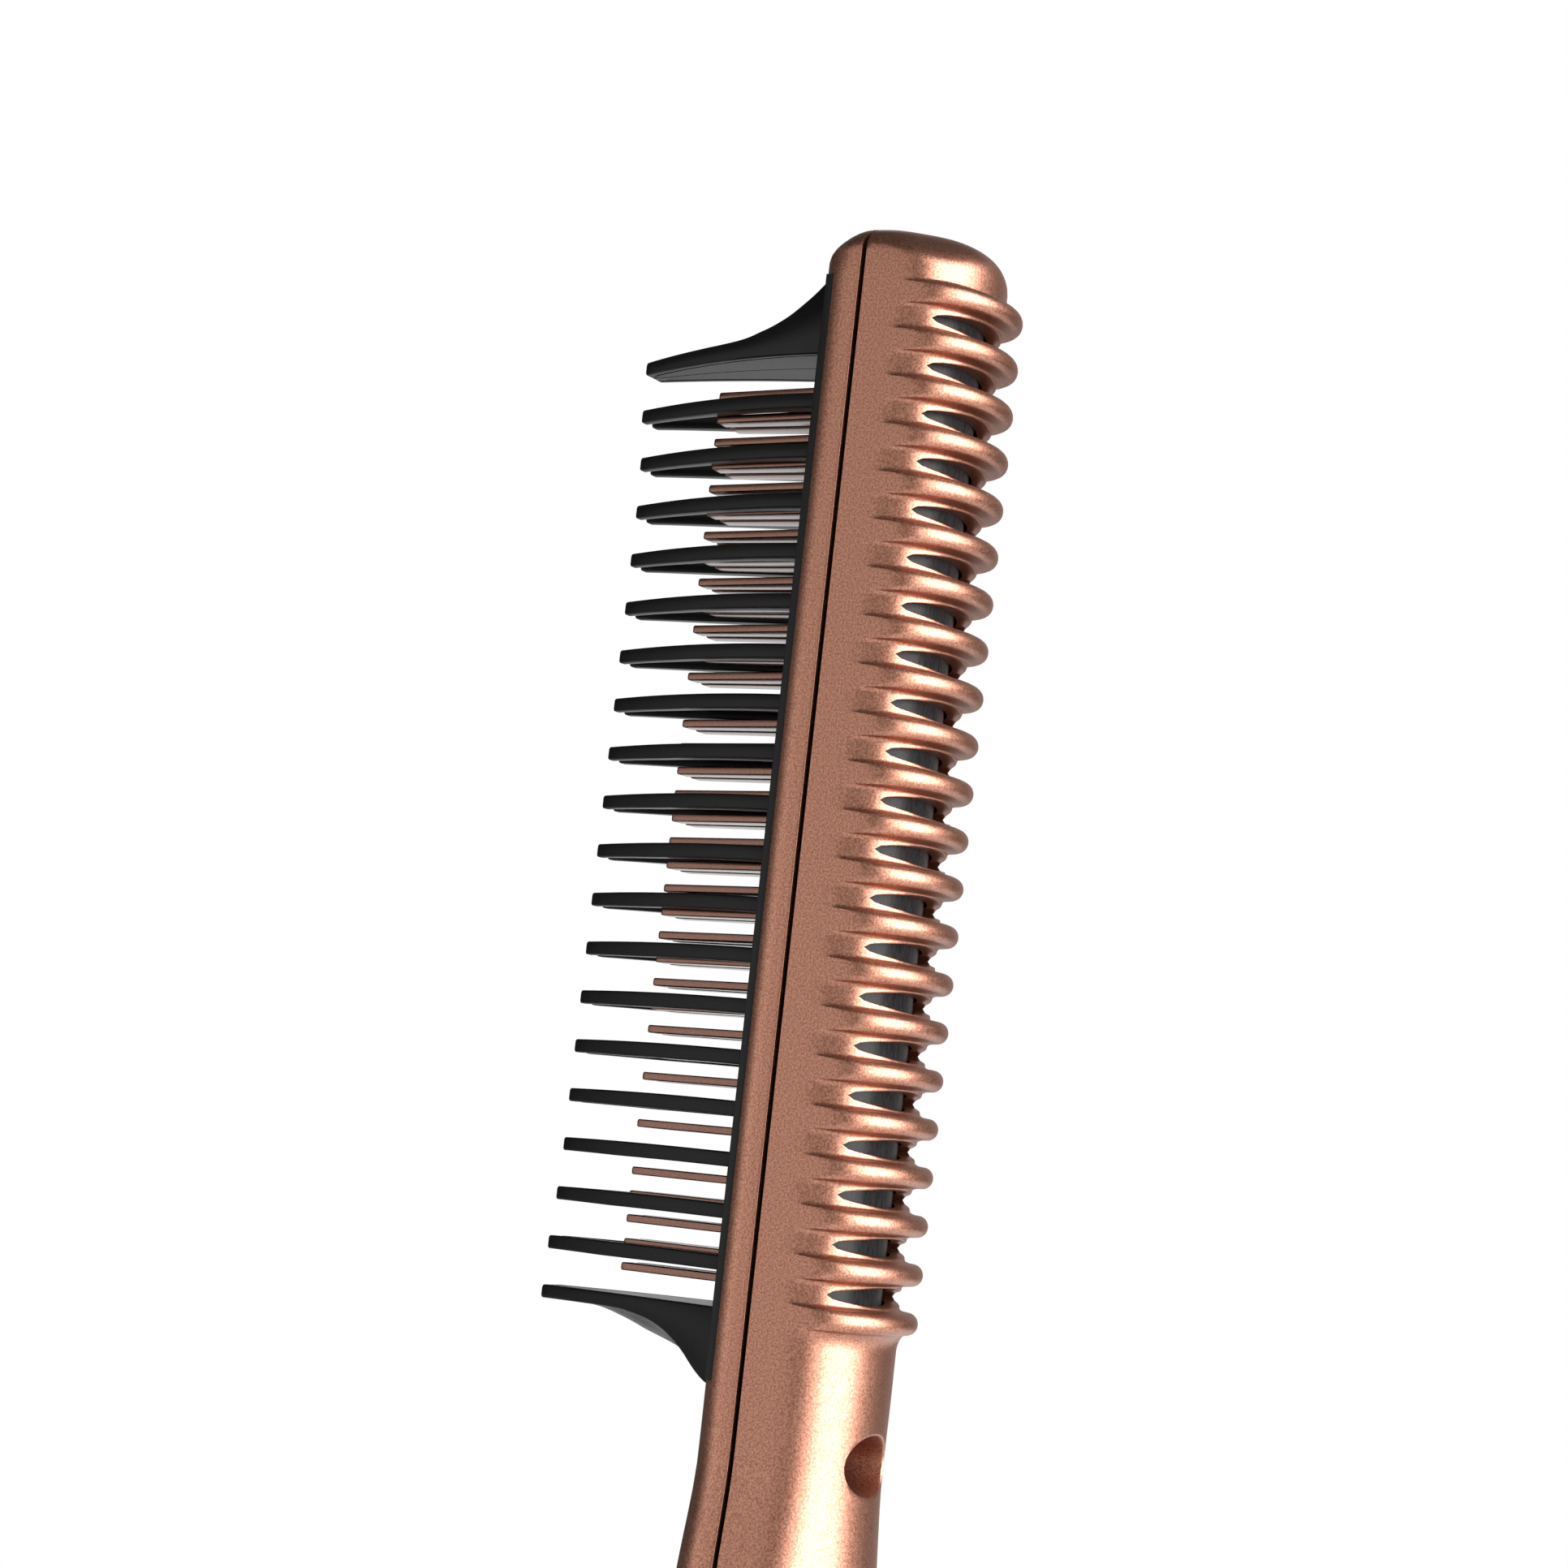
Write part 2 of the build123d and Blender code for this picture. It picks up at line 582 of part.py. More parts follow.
# Rear shell: ribbed and slotted over the head, with the oval screw well on the neck
with BuildPart() as rear_shell:
    add(outer_form)
    add(rib_forms)
    add(body_blank(SHELL_WALL, VALLEY_WALL), mode=Mode.SUBTRACT)
    with BuildSketch(facing_front(HEAD_BACK_Y + RIB_HEIGHT)):
        with Locations([(0, RIB_TOP_Z - (i + 0.5) * RIB_PITCH) for i in range(RIB_COUNT - 1)]):
            add(slot_outline())
    extrude(amount=HEAD_BACK_Y + RIB_HEIGHT, mode=Mode.SUBTRACT)
    with BuildSketch(facing_front(WELL_OUTER_Y)):
        with Locations((0, WELL_Z)):
            Ellipse(WELL_HALF_WIDTH + WELL_WALL, WELL_HALF_HEIGHT + WELL_WALL)
    extrude(amount=WELL_OUTER_Y - WELL_FLOOR_Y + WELL_FLOOR)
    with BuildSketch(facing_front(HEAD_BACK_Y + RIB_HEIGHT)):
        with Locations((0, WELL_Z)):
            Ellipse(WELL_HALF_WIDTH, WELL_HALF_HEIGHT)
    extrude(amount=HEAD_BACK_Y + RIB_HEIGHT - WELL_FLOOR_Y, mode=Mode.SUBTRACT)
    with BuildSketch(facing_front(WELL_FLOOR_Y)):
        with Locations((0, WELL_Z)):
            Circle(NECK_SCREW_RADIUS + SCREW_CLEARANCE)
    extrude(amount=WELL_FLOOR, mode=Mode.SUBTRACT)
    split(bisect_by=facing_front(PARTING_Y), keep=Keep.BOTTOM)
rear_shell.part.label = "rear_shell"
export_step(rear_shell.part, "parts/rear_shell.step")

# Bosses of the front shell, up from its wall
with BuildPart() as bosses:
    with BuildSketch(facing_front(BOARD_Y)):
        with Locations(BOARD_SCREWS):
            Circle(BOARD_BOSS_RADIUS)
    extrude(amount=HEAD_BACK_RADIUS)
    with BuildSketch(facing_front(NECK_BOSS_Y)):
        with Locations((0, WELL_Z)):
            Circle(NECK_BOSS_RADIUS)
    extrude(amount=HEAD_BACK_RADIUS)
    add(outer_form, mode=Mode.INTERSECT)

# Front shell: carries the comb guard on its ledge and the controls on the handle
with BuildPart() as front_shell:
    add(outer_form)
    add(body_blank(SHELL_WALL, SHELL_WALL), mode=Mode.SUBTRACT)
    split(bisect_by=facing_front(PARTING_Y), keep=Keep.TOP)
    add(bosses.part)
    with BuildSketch(facing_front(LEDGE_Y)):
        with Locations((0, (GUARD_TOP_Z + GUARD_BOTTOM_Z) / 2)):
            Rectangle(3 * HEAD_HALF_WIDTH, GUARD_LENGTH)
    extrude(amount=HEAD_BACK_RADIUS, mode=Mode.SUBTRACT)
    with BuildSketch(facing_front(GUARD_BACK_Y + GUARD_FIT)):
        with Locations((0, (GUARD_TOP_Z + GUARD_BOTTOM_Z) / 2)):
            Rectangle(2 * OPENING_HALF_WIDTH, GUARD_LENGTH)
    extrude(amount=HEAD_BACK_RADIUS, mode=Mode.SUBTRACT)
    with BuildSketch(facing_front(GUARD_BACK_Y + TAB_THICKNESS)):
        with Locations((0, (TOP_TAB_BOTTOM_Z + TOP_TAB_TOP_Z) / 2)):
            Rectangle(2 * OPENING_HALF_WIDTH, TOP_TAB_TOP_Z - TOP_TAB_BOTTOM_Z)
        with Locations((0, GUARD_BOTTOM_Z)):
            Rectangle(2 * OPENING_HALF_WIDTH, 2 * TAB_LENGTH)
    extrude(amount=TAB_THICKNESS)
    with BuildSketch(facing_front(GUARD_BACK_Y + TAB_THICKNESS)):
        with Locations(TAB_SCREWS):
            Circle(SCREW_RADIUS + SCREW_CLEARANCE)
    extrude(amount=TAB_THICKNESS, mode=Mode.SUBTRACT)
    with BuildSketch(facing_front(BOARD_Y)):
        with Locations(BOARD_SCREWS):
            Circle(SCREW_RADIUS + SCREW_FIT)
    extrude(amount=BOARD_SCREW_BITE, mode=Mode.SUBTRACT)
    with BuildSketch(facing_front(NECK_BOSS_Y)):
        with Locations((0, WELL_Z)):
            Circle(NECK_SCREW_RADIUS + SCREW_FIT)
    extrude(amount=NECK_SCREW_BITE, mode=Mode.SUBTRACT)
    with BuildSketch(facing_front(PANEL_BACK_Y)):
        with Locations((0, PANEL_MIDDLE_Z)):
            SlotOverall(
                PANEL_TOP - PANEL_BOTTOM + 2 * PANEL_FIT,
                2 * (PANEL_HALF_WIDTH + PANEL_FIT),
                rotation=90,
            )
    extrude(amount=HEAD_BACK_RADIUS, mode=Mode.SUBTRACT)
    with BuildSketch(facing_front(FLANGE_FACE_Y + BUTTON_FLANGE_THICKNESS)):
        with Locations([(0, height) for height in BUTTON_HEIGHTS]):
            Circle(BUTTON_RADIUS + BUTTON_CLEARANCE)
        with Locations((0, DISPLAY_Z)):
            RectangleRounded(
                2 * (DISPLAY_HALF_WIDTH - DISPLAY_LEDGE),
                2 * (DISPLAY_HALF_HEIGHT - DISPLAY_LEDGE),
                DISPLAY_CORNER - DISPLAY_LEDGE,
            )
    extrude(amount=HEAD_BACK_RADIUS, mode=Mode.SUBTRACT)
front_shell.part.label = "front_shell"
export_step(front_shell.part, "parts/front_shell.step")

# Comb guard: a plate with a long window, rows of paired blades and a webbed row at each end
with BuildPart() as comb_guard:
    with BuildSketch(facing_front(LEDGE_Y)):
        with Locations((0, (GUARD_TOP_Z + GUARD_BOTTOM_Z) / 2)):
            Rectangle(2 * (HEAD_HALF_WIDTH - GUARD_LIP_INSET), GUARD_LENGTH - 2 * GUARD_FIT)
    extrude(amount=GUARD_PROUD)
    with BuildSketch(facing_front(GUARD_BACK_Y)):
        with Locations((0, (GUARD_TOP_Z + GUARD_BOTTOM_Z) / 2)):
            Rectangle(2 * (OPENING_HALF_WIDTH - GUARD_FIT), GUARD_LENGTH - 2 * GUARD_FIT)
    extrude(amount=GUARD_DEPTH)
    for row in range(1, ROW_COUNT - 1):
        extra = 0
        if row < len(TOP_TIP_EXTRA):
            extra = TOP_TIP_EXTRA[row]
        if ROW_COUNT - 1 - row < len(BOTTOM_TIP_EXTRA):
            extra = BOTTOM_TIP_EXTRA[ROW_COUNT - 1 - row]
        with BuildSketch(Plane.XY.offset(ROW_TOP_Z - row * ROW_PITCH)):
            add(blade_outline(extra))
        extrude(amount=ROW_THICKNESS / 2, both=True)
    add(end_web(ROW_TOP_Z, 1, TOP_TIP_EXTRA[0], TOP_WEB))
    add(end_web(ROW_BOTTOM_Z, -1, BOTTOM_TIP_EXTRA[0], BOTTOM_WEB))
    with BuildSketch(facing_front(GUARD_BACK_Y)):
        with Locations((0, (ROW_TOP_Z + ROW_BOTTOM_Z) / 2)):
            Rectangle(
                2 * WINDOW_HALF_WIDTH,
                ROW_TOP_Z - ROW_BOTTOM_Z - ROW_THICKNESS - 2 * WINDOW_ROW_GAP,
            )
    extrude(amount=GUARD_DEPTH + GUARD_PROUD, mode=Mode.SUBTRACT)
    with BuildSketch(facing_front(GUARD_BACK_Y)):
        with Locations(STACK_SCREWS + TAB_SCREWS):
            Circle(SCREW_RADIUS + SCREW_FIT)
    extrude(amount=SCREW_BITE, mode=Mode.SUBTRACT)
comb_guard.part.label = "comb_guard"
export_step(comb_guard.part, "parts/comb_guard.step")

# Heated comb: the plate behind the guard's window and its two columns of fins
with BuildPart() as fin_pair:
    with BuildSketch(Plane.XY.offset(FIN_TOP_Z)):
        add(fin_outline())
    extrude(amount=FIN_THICKNESS / 2, both=True)
with BuildPart() as heater_comb:
    with BuildSketch(facing_front(PLATE_BACK_Y)):
        with Locations((0, FIN_MIDDLE_Z)):
            Rectangle(2 * HEATER_PLATE_HALF_WIDTH, PLATE_TOP_Z - PLATE_BOTTOM_Z)
        with Locations(STACK_SCREWS):
            Circle(SCREW_RADIUS + SCREW_CLEARANCE, mode=Mode.SUBTRACT)
    extrude(amount=HEATER_PLATE_THICKNESS)
    with Locations([(0, 0, -i * FIN_PITCH) for i in range(FIN_COUNT)]):
        add(fin_pair.part)
heater_comb.part.label = "heater_comb"
export_step(heater_comb.part, "parts/heater_comb.step")

# Heating strips, one above the other
with BuildPart() as ceramic_heaters:
    with BuildSketch(facing_front(CERAMIC_BACK_Y)):
        with Locations(
            (0, FIN_MIDDLE_Z - (CERAMIC_LENGTH + CERAMIC_GAP) / 2),
            (0, FIN_MIDDLE_Z + (CERAMIC_LENGTH + CERAMIC_GAP) / 2),
        ):
            Rectangle(2 * CERAMIC_HALF_WIDTH, CERAMIC_LENGTH)
    extrude(amount=CERAMIC_THICKNESS)
ceramic_heaters.part.label = "ceramic_heaters"
export_step(ceramic_heaters.part, "parts/ceramic_heaters.step")

# Mica sheet over the strips
with BuildPart() as mica_sheet:
    with BuildSketch(facing_front(MICA_BACK_Y)):
        with Locations((0, FIN_MIDDLE_Z)):
            Rectangle(2 * HEATER_PLATE_HALF_WIDTH, PLATE_TOP_Z - PLATE_BOTTOM_Z)
        with Locations(STACK_SCREWS):
            Circle(SCREW_RADIUS + SCREW_CLEARANCE, mode=Mode.SUBTRACT)
    extrude(amount=MICA_THICKNESS)
mica_sheet.part.label = "mica_sheet"
export_step(mica_sheet.part, "parts/mica_sheet.step")

# Clamp plate that presses the stack on to the guard
with BuildPart() as clamp_plate:
    with BuildSketch(facing_front(CLAMP_BACK_Y)):
        with Locations((0, FIN_MIDDLE_Z)):
            Rectangle(2 * HEATER_PLATE_HALF_WIDTH, PLATE_TOP_Z - PLATE_BOTTOM_Z)
        with Locations(STACK_SCREWS):
            Circle(SCREW_RADIUS + SCREW_CLEARANCE, mode=Mode.SUBTRACT)
    extrude(amount=CLAMP_THICKNESS)
clamp_plate.part.label = "clamp_plate"
export_step(clamp_plate.part, "parts/clamp_plate.step")

# Screws through the stack into the guard
with BuildPart() as heater_screws:
    add(screws(STACK_SCREWS, CLAMP_BACK_Y, CLAMP_BACK_Y - GUARD_BACK_Y + SCREW_BITE - BOSS_GAP))
heater_screws.part.label = "heater_screws"
export_step(heater_screws.part, "parts/heater_screws.step")

# Screws through the tabs into the guard
with BuildPart() as comb_screws:
    add(screws(TAB_SCREWS, GUARD_BACK_Y + TAB_THICKNESS, TAB_THICKNESS + SCREW_BITE - BOSS_GAP))
comb_screws.part.label = "comb_screws"
export_step(comb_screws.part, "parts/comb_screws.step")

# Cut-out link lying on the clamp
with BuildPart() as thermal_fuse:
    with BuildSketch(Plane.XY.offset(FIN_MIDDLE_Z)):
        with Locations((0, CLAMP_BACK_Y + FUSE_LINK_RADIUS)):
            Circle(FUSE_LINK_RADIUS)
    extrude(amount=FUSE_LINK_LENGTH / 2, both=True)
thermal_fuse.part.label = "thermal_fuse"
export_step(thermal_fuse.part, "parts/thermal_fuse.step")

# Temperature sensor lying on the clamp
with BuildPart() as thermistor:
    with BuildSketch(facing_front(CLAMP_BACK_Y + THERMISTOR_SIZE[1])):
        with Locations((0, FIN_MIDDLE_Z + CERAMIC_LENGTH / 2)):
            Rectangle(THERMISTOR_SIZE[0], THERMISTOR_SIZE[2])
    extrude(amount=THERMISTOR_SIZE[1])
thermistor.part.label = "thermistor"
export_step(thermistor.part, "parts/thermistor.step")

# Leads from the clamp down to the terminal block
with BuildPart() as heater_leads:
    with BuildSketch(Plane.XY.offset(BOARD_TOP)):
        with Locations((-LEAD_X, LEAD_Y), (LEAD_X, LEAD_Y)):
            Circle(LEAD_RADIUS)
    extrude(amount=LEAD_TOP_Z - BOARD_TOP)
heater_leads.part.label = "heater_leads"
export_step(heater_leads.part, "parts/heater_leads.step")

# Liner halves
with BuildPart() as liner_left:
    add(liner_half(-1))
liner_left.part.label = "liner_left"
export_step(liner_left.part, "parts/liner_left.step")

with BuildPart() as liner_right:
    add(liner_half(1))
liner_right.part.label = "liner_right"
export_step(liner_right.part, "parts/liner_right.step")

# Screw at the bottom of the oval well
with BuildPart() as neck_screw:
    with BuildSketch(facing_front(WELL_FLOOR_Y + NECK_SCREW_HEAD_HEIGHT)):
        with Locations((0, WELL_Z)):
            Circle(NECK_SCREW_HEAD)
    extrude(amount=NECK_SCREW_HEAD_HEIGHT)
    with BuildSketch(facing_front(WELL_FLOOR_Y)):
        with Locations((0, WELL_Z)):
            Circle(NECK_SCREW_RADIUS)
    extrude(amount=WELL_FLOOR_Y - NECK_BOSS_Y + NECK_SCREW_BITE - BOSS_GAP)
neck_screw.part.label = "neck_screw"
export_step(neck_screw.part, "parts/neck_screw.step")

# Control panel with its openings
with BuildPart() as control_panel:
    with BuildSketch(facing_front(PANEL_BACK_Y)):
        with Locations((0, PANEL_MIDDLE_Z)):
            SlotOverall(PANEL_TOP - PANEL_BOTTOM, 2 * PANEL_HALF_WIDTH, rotation=90)
        with Locations([(0, height) for height in BUTTON_HEIGHTS]):
            Circle(BUTTON_RADIUS + BUTTON_CLEARANCE, mode=Mode.SUBTRACT)
        with Locations((0, DISPLAY_Z)):
            RectangleRounded(
                2 * DISPLAY_HALF_WIDTH,
                2 * DISPLAY_HALF_HEIGHT,
                DISPLAY_CORNER,
                mode=Mode.SUBTRACT,
            )
    extrude(amount=PANEL_THICKNESS)
control_panel.part.label = "control_panel"
export_step(control_panel.part, "parts/control_panel.step")

# Window over the display
with BuildPart() as display_window:
    with BuildSketch(facing_front(PANEL_BACK_Y)):
        with Locations((0, DISPLAY_Z)):
            RectangleRounded(
                2 * (DISPLAY_HALF_WIDTH - PANEL_FIT),
                2 * (DISPLAY_HALF_HEIGHT - PANEL_FIT),
                DISPLAY_CORNER - PANEL_FIT,
            )
    extrude(amount=PANEL_THICKNESS)
display_window.part.label = "display_window"
export_step(display_window.part, "parts/display_window.step")

# Display standing on the board, just behind its window
with BuildPart() as display_module:
    with BuildSketch(facing_front(BOARD_Y)):
        with Locations((0, DISPLAY_Z)):
            Rectangle(
                2 * (DISPLAY_HALF_WIDTH - DISPLAY_LEDGE - BUTTON_CLEARANCE),
                2 * (DISPLAY_HALF_HEIGHT - DISPLAY_LEDGE - BUTTON_CLEARANCE),
            )
    extrude(amount=BOARD_Y - PANEL_BACK_Y - DISPLAY_GAP)
display_module.part.label = "display_module"
export_step(display_module.part, "parts/display_module.step")

# Keys
with BuildPart() as power_button:
    add(push_button(POWER_Z, BUTTON_RADIUS))
power_button.part.label = "power_button"
export_step(power_button.part, "parts/power_button.step")

with BuildPart() as plus_button:
    add(push_button(PLUS_Z, BUTTON_RADIUS))
plus_button.part.label = "plus_button"
export_step(plus_button.part, "parts/plus_button.step")

with BuildPart() as minus_button:
    add(push_button(MINUS_Z, BUTTON_RADIUS))
minus_button.part.label = "minus_button"
export_step(minus_button.part, "parts/minus_button.step")

# Switches under the keys
with BuildPart() as tact_switches:
    with BuildSketch(facing_front(BOARD_Y)):
        with Locations([(0, height) for height in BUTTON_HEIGHTS]):
            Rectangle(SWITCH_SIZE, SWITCH_SIZE)
    extrude(amount=SWITCH_BODY_HEIGHT)
    with BuildSketch(facing_front(BOARD_Y - SWITCH_BODY_HEIGHT)):
        with Locations([(0, height) for height in BUTTON_HEIGHTS]):
            Circle(SWITCH_PLUNGER_RADIUS)
    extrude(amount=SWITCH_PLUNGER_HEIGHT)
tact_switches.part.label = "tact_switches"
export_step(tact_switches.part, "parts/tact_switches.step")

# Circuit board on the front shell's bosses
with BuildPart() as control_board:
    with BuildSketch(facing_front(BOARD_BACK_Y)):
        with Locations((0, BOARD_MIDDLE_Z)):
            Rectangle(2 * BOARD_HALF_WIDTH, BOARD_TOP - BOARD_BOTTOM)
        with Locations(BOARD_SCREWS):
            Circle(SCREW_RADIUS + SCREW_CLEARANCE, mode=Mode.SUBTRACT)
    extrude(amount=BOARD_THICKNESS)
control_board.part.label = "control_board"
export_step(control_board.part, "parts/control_board.step")

with BuildPart() as board_screws:
    add(screws(BOARD_SCREWS, BOARD_BACK_Y, BOARD_THICKNESS + BOARD_SCREW_BITE - BOSS_GAP))
board_screws.part.label = "board_screws"
export_step(board_screws.part, "parts/board_screws.step")

# Parts on the back of the board
with BuildPart() as terminal_block:
    with BuildSketch(facing_front(BOARD_BACK_Y + TERMINAL_DEPTH)):
        with Locations((0, BOARD_TOP - TERMINAL_HEIGHT / 2)):
            Rectangle(2 * TERMINAL_HALF_WIDTH, TERMINAL_HEIGHT)
        with Locations(BOARD_SCREWS):
            Circle(SCREW_HEAD_RADIUS + SCREW_CLEARANCE, mode=Mode.SUBTRACT)
    extrude(amount=TERMINAL_DEPTH)
terminal_block.part.label = "terminal_block"
export_step(terminal_block.part, "parts/terminal_block.step")

with BuildPart() as triac:
    with BuildSketch(facing_front(BOARD_BACK_Y + TRIAC_SIZE[1])):
        with Locations(TRIAC_PLACE):
            Rectangle(TRIAC_SIZE[0], TRIAC_SIZE[2])
    extrude(amount=TRIAC_SIZE[1])
triac.part.label = "triac"
export_step(triac.part, "parts/triac.step")

with BuildPart() as film_capacitor:
    with BuildSketch(facing_front(BOARD_BACK_Y + FILM_CAPACITOR_SIZE[1])):
        with Locations(FILM_CAPACITOR_PLACE):
            Rectangle(FILM_CAPACITOR_SIZE[0], FILM_CAPACITOR_SIZE[2])
    extrude(amount=FILM_CAPACITOR_SIZE[1])
    chamfer(film_capacitor.edges().group_by(Axis.Y)[-1], CAPACITOR_EDGE)
film_capacitor.part.label = "film_capacitor"
export_step(film_capacitor.part, "parts/film_capacitor.step")

with BuildPart() as electrolytic_capacitor:
    with BuildSketch(Plane.XY.offset(ELECTROLYTIC_PLACE[1])):
        with Locations((ELECTROLYTIC_PLACE[0], BOARD_BACK_Y + ELECTROLYTIC_RADIUS)):
            Circle(ELECTROLYTIC_RADIUS)
    extrude(amount=ELECTROLYTIC_LENGTH / 2, both=True)
electrolytic_capacitor.part.label = "electrolytic_capacitor"
export_step(electrolytic_capacitor.part, "parts/electrolytic_capacitor.step")

with BuildPart() as glass_fuse:
    with BuildSketch(Plane.XY.offset(FUSE_PLACE[1])):
        with Locations((FUSE_PLACE[0], BOARD_BACK_Y + FUSE_RADIUS)):
            Circle(FUSE_RADIUS)
    extrude(amount=FUSE_LENGTH / 2, both=True)
glass_fuse.part.label = "glass_fuse"
export_step(glass_fuse.part, "parts/glass_fuse.step")

with BuildPart() as microcontroller:
    with BuildSketch(facing_front(BOARD_BACK_Y + CHIP_SIZE[1])):
        with Locations(CHIP_PLACE):
            Rectangle(CHIP_SIZE[0], CHIP_SIZE[2])
    extrude(amount=CHIP_SIZE[1])
microcontroller.part.label = "microcontroller"
export_step(microcontroller.part, "parts/microcontroller.step")

# Tail cap with its spigot inside the shells and the running bore of the gland
with BuildPart() as tail_cap:
    with BuildSketch():
        add(tail_outline(0))
    extrude(amount=TAIL_CAP_HEIGHT)
    fillet(tail_cap.edges().group_by(Axis.Z)[0], TAIL_CAP_ROUND)
    with BuildSketch(Plane.XY.offset(TAIL_CAP_HEIGHT)):
        add(tail_outline(SHELL_WALL + SPIGOT_FIT))
        add(tail_outline(SHELL_WALL + SPIGOT_FIT + SPIGOT_WALL), mode=Mode.SUBTRACT)
    extrude(amount=SPIGOT_LENGTH)
    with BuildSketch():
        Circle(GLAND_RADIUS + GLAND_FIT)
    extrude(amount=TAIL_CAP_HEIGHT, mode=Mode.SUBTRACT)
tail_cap.part.label = "tail_cap"
export_step(tail_cap.part, "parts/tail_cap.step")

# Swivelling cord gland: collar held between the cap and the contact block
with BuildPart() as swivel_gland:
    with BuildSketch():
        Circle(GLAND_RADIUS)
    extrude(amount=COLLAR_BOTTOM_Z)
    with BuildSketch(Plane.XY.offset(COLLAR_BOTTOM_Z)):
        Circle(GLAND_COLLAR_RADIUS)
    extrude(amount=COLLAR_TOP_Z - COLLAR_BOTTOM_Z)
    with BuildSketch(Plane.XY.offset(COLLAR_TOP_Z)):
        Circle(GLAND_STEM_RADIUS)
    extrude(amount=STEM_TOP_Z - COLLAR_TOP_Z)
    with BuildSketch():
        Circle(CORD_BORE_RADIUS)
    extrude(amount=CORD_BORE_DEPTH, mode=Mode.SUBTRACT)
swivel_gland.part.label = "swivel_gland"
export_step(swivel_gland.part, "parts/swivel_gland.step")

# Contact rings on the gland's stem
with BuildPart() as swivel_contacts:
    for height in RING_HEIGHTS:
        with BuildSketch(Plane.XY.offset(height)):
            Circle(RING_RADIUS)
            Circle(GLAND_STEM_RADIUS, mode=Mode.SUBTRACT)
        extrude(amount=RING_WIDTH / 2, both=True)
swivel_contacts.part.label = "swivel_contacts"
export_step(swivel_contacts.part, "parts/swivel_contacts.step")

# Contact block on the spigot, with a post beside each ring
with BuildPart() as contact_block:
    with BuildSketch(Plane.XY.offset(SPIGOT_TOP_Z)):
        add(tail_outline(SHELL_WALL + 2 * SPIGOT_FIT))
        Circle(GLAND_STEM_RADIUS + BLOCK_HOLE_GAP, mode=Mode.SUBTRACT)
    extrude(amount=BLOCK_FLOOR)
    with BuildSketch(Plane.XY.offset(BLOCK_TOP_Z)):
        with Locations((-POST_X - BLOCK_POST_DEPTH / 2, 0), (POST_X + BLOCK_POST_DEPTH / 2, 0)):
            Rectangle(BLOCK_POST_DEPTH, 2 * BLOCK_POST_HALF_WIDTH)
    extrude(amount=BLOCK_POST_HEIGHT)
contact_block.part.label = "contact_block"
export_step(contact_block.part, "parts/contact_block.step")

# Contact strips on the posts, one to each ring
with BuildPart() as contact_fingers:
    for height, side in zip(RING_HEIGHTS, (-1, 1)):
        with BuildSketch(Plane.XY.offset(height)):
            with Locations((side * (FINGER_X + FINGER_THICKNESS / 2), 0)):
                Rectangle(FINGER_THICKNESS, 2 * FINGER_HALF_LENGTH)
        extrude(amount=FINGER_WIDTH / 2, both=True)
contact_fingers.part.label = "contact_fingers"
export_step(contact_fingers.part, "parts/contact_fingers.step")
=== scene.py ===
import math

import bmesh
import bpy
from mathutils import Matrix, Vector


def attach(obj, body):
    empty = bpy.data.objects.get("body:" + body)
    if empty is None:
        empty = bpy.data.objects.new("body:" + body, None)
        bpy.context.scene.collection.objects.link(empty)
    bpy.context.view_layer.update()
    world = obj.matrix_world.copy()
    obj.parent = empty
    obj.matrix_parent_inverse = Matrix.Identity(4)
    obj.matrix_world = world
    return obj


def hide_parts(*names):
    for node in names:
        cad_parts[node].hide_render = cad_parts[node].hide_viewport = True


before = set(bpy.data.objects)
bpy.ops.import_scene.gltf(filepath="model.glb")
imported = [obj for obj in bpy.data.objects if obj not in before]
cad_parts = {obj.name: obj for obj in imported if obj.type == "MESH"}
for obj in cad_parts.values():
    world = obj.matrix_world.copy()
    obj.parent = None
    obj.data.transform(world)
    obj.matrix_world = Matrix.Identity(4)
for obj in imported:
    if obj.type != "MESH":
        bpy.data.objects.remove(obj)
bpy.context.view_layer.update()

scene = bpy.context.scene
MM = 0.001
QUARTER_TURN = math.pi / 2


# Materials: one noise in the object's own coordinates drives colour, roughness and normal
def new_material(name):
    material = bpy.data.materials.new(name)
    material.use_nodes = True
    tree = material.node_tree
    return material, tree, tree.nodes["Principled BSDF"]


def object_noise(tree, scale, detail, stretch=(1, 1, 1)):
    """Noise whose scale counts cells to the millimetre."""
    coords = tree.nodes.new("ShaderNodeTexCoord")
    mapping = tree.nodes.new("ShaderNodeMapping")
    mapping.inputs["Scale"].default_value = [1000 * scale * s for s in stretch]
    tree.links.new(coords.outputs["Object"], mapping.inputs["Vector"])
    noise = tree.nodes.new("ShaderNodeTexNoise")
    noise.inputs["Scale"].default_value = 1.0
    noise.inputs["Detail"].default_value = detail
    tree.links.new(mapping.outputs["Vector"], noise.inputs["Vector"])
    return noise.outputs["Fac"]


def ramp(tree, factor, band, colours):
    """The first colour below a band of the factor, the second above it, and a blend within."""
    node = tree.nodes.new("ShaderNodeValToRGB")
    for element, position, colour in zip(node.color_ramp.elements, band, colours):
        element.position = position
        element.color = (*colour, 1)
    tree.links.new(factor, node.inputs["Fac"])
    return node.outputs["Color"]


def spread(tree, factor, low, high):
    node = tree.nodes.new("ShaderNodeMapRange")
    node.inputs["To Min"].default_value = low
    node.inputs["To Max"].default_value = high
    tree.links.new(factor, node.inputs["Value"])
    return node.outputs["Result"]


def bump(tree, factor, strength, distance):
    node = tree.nodes.new("ShaderNodeBump")
    node.inputs["Strength"].default_value = strength
    node.inputs["Distance"].default_value = distance
    tree.links.new(factor, node.inputs["Height"])
    return node.outputs["Normal"]


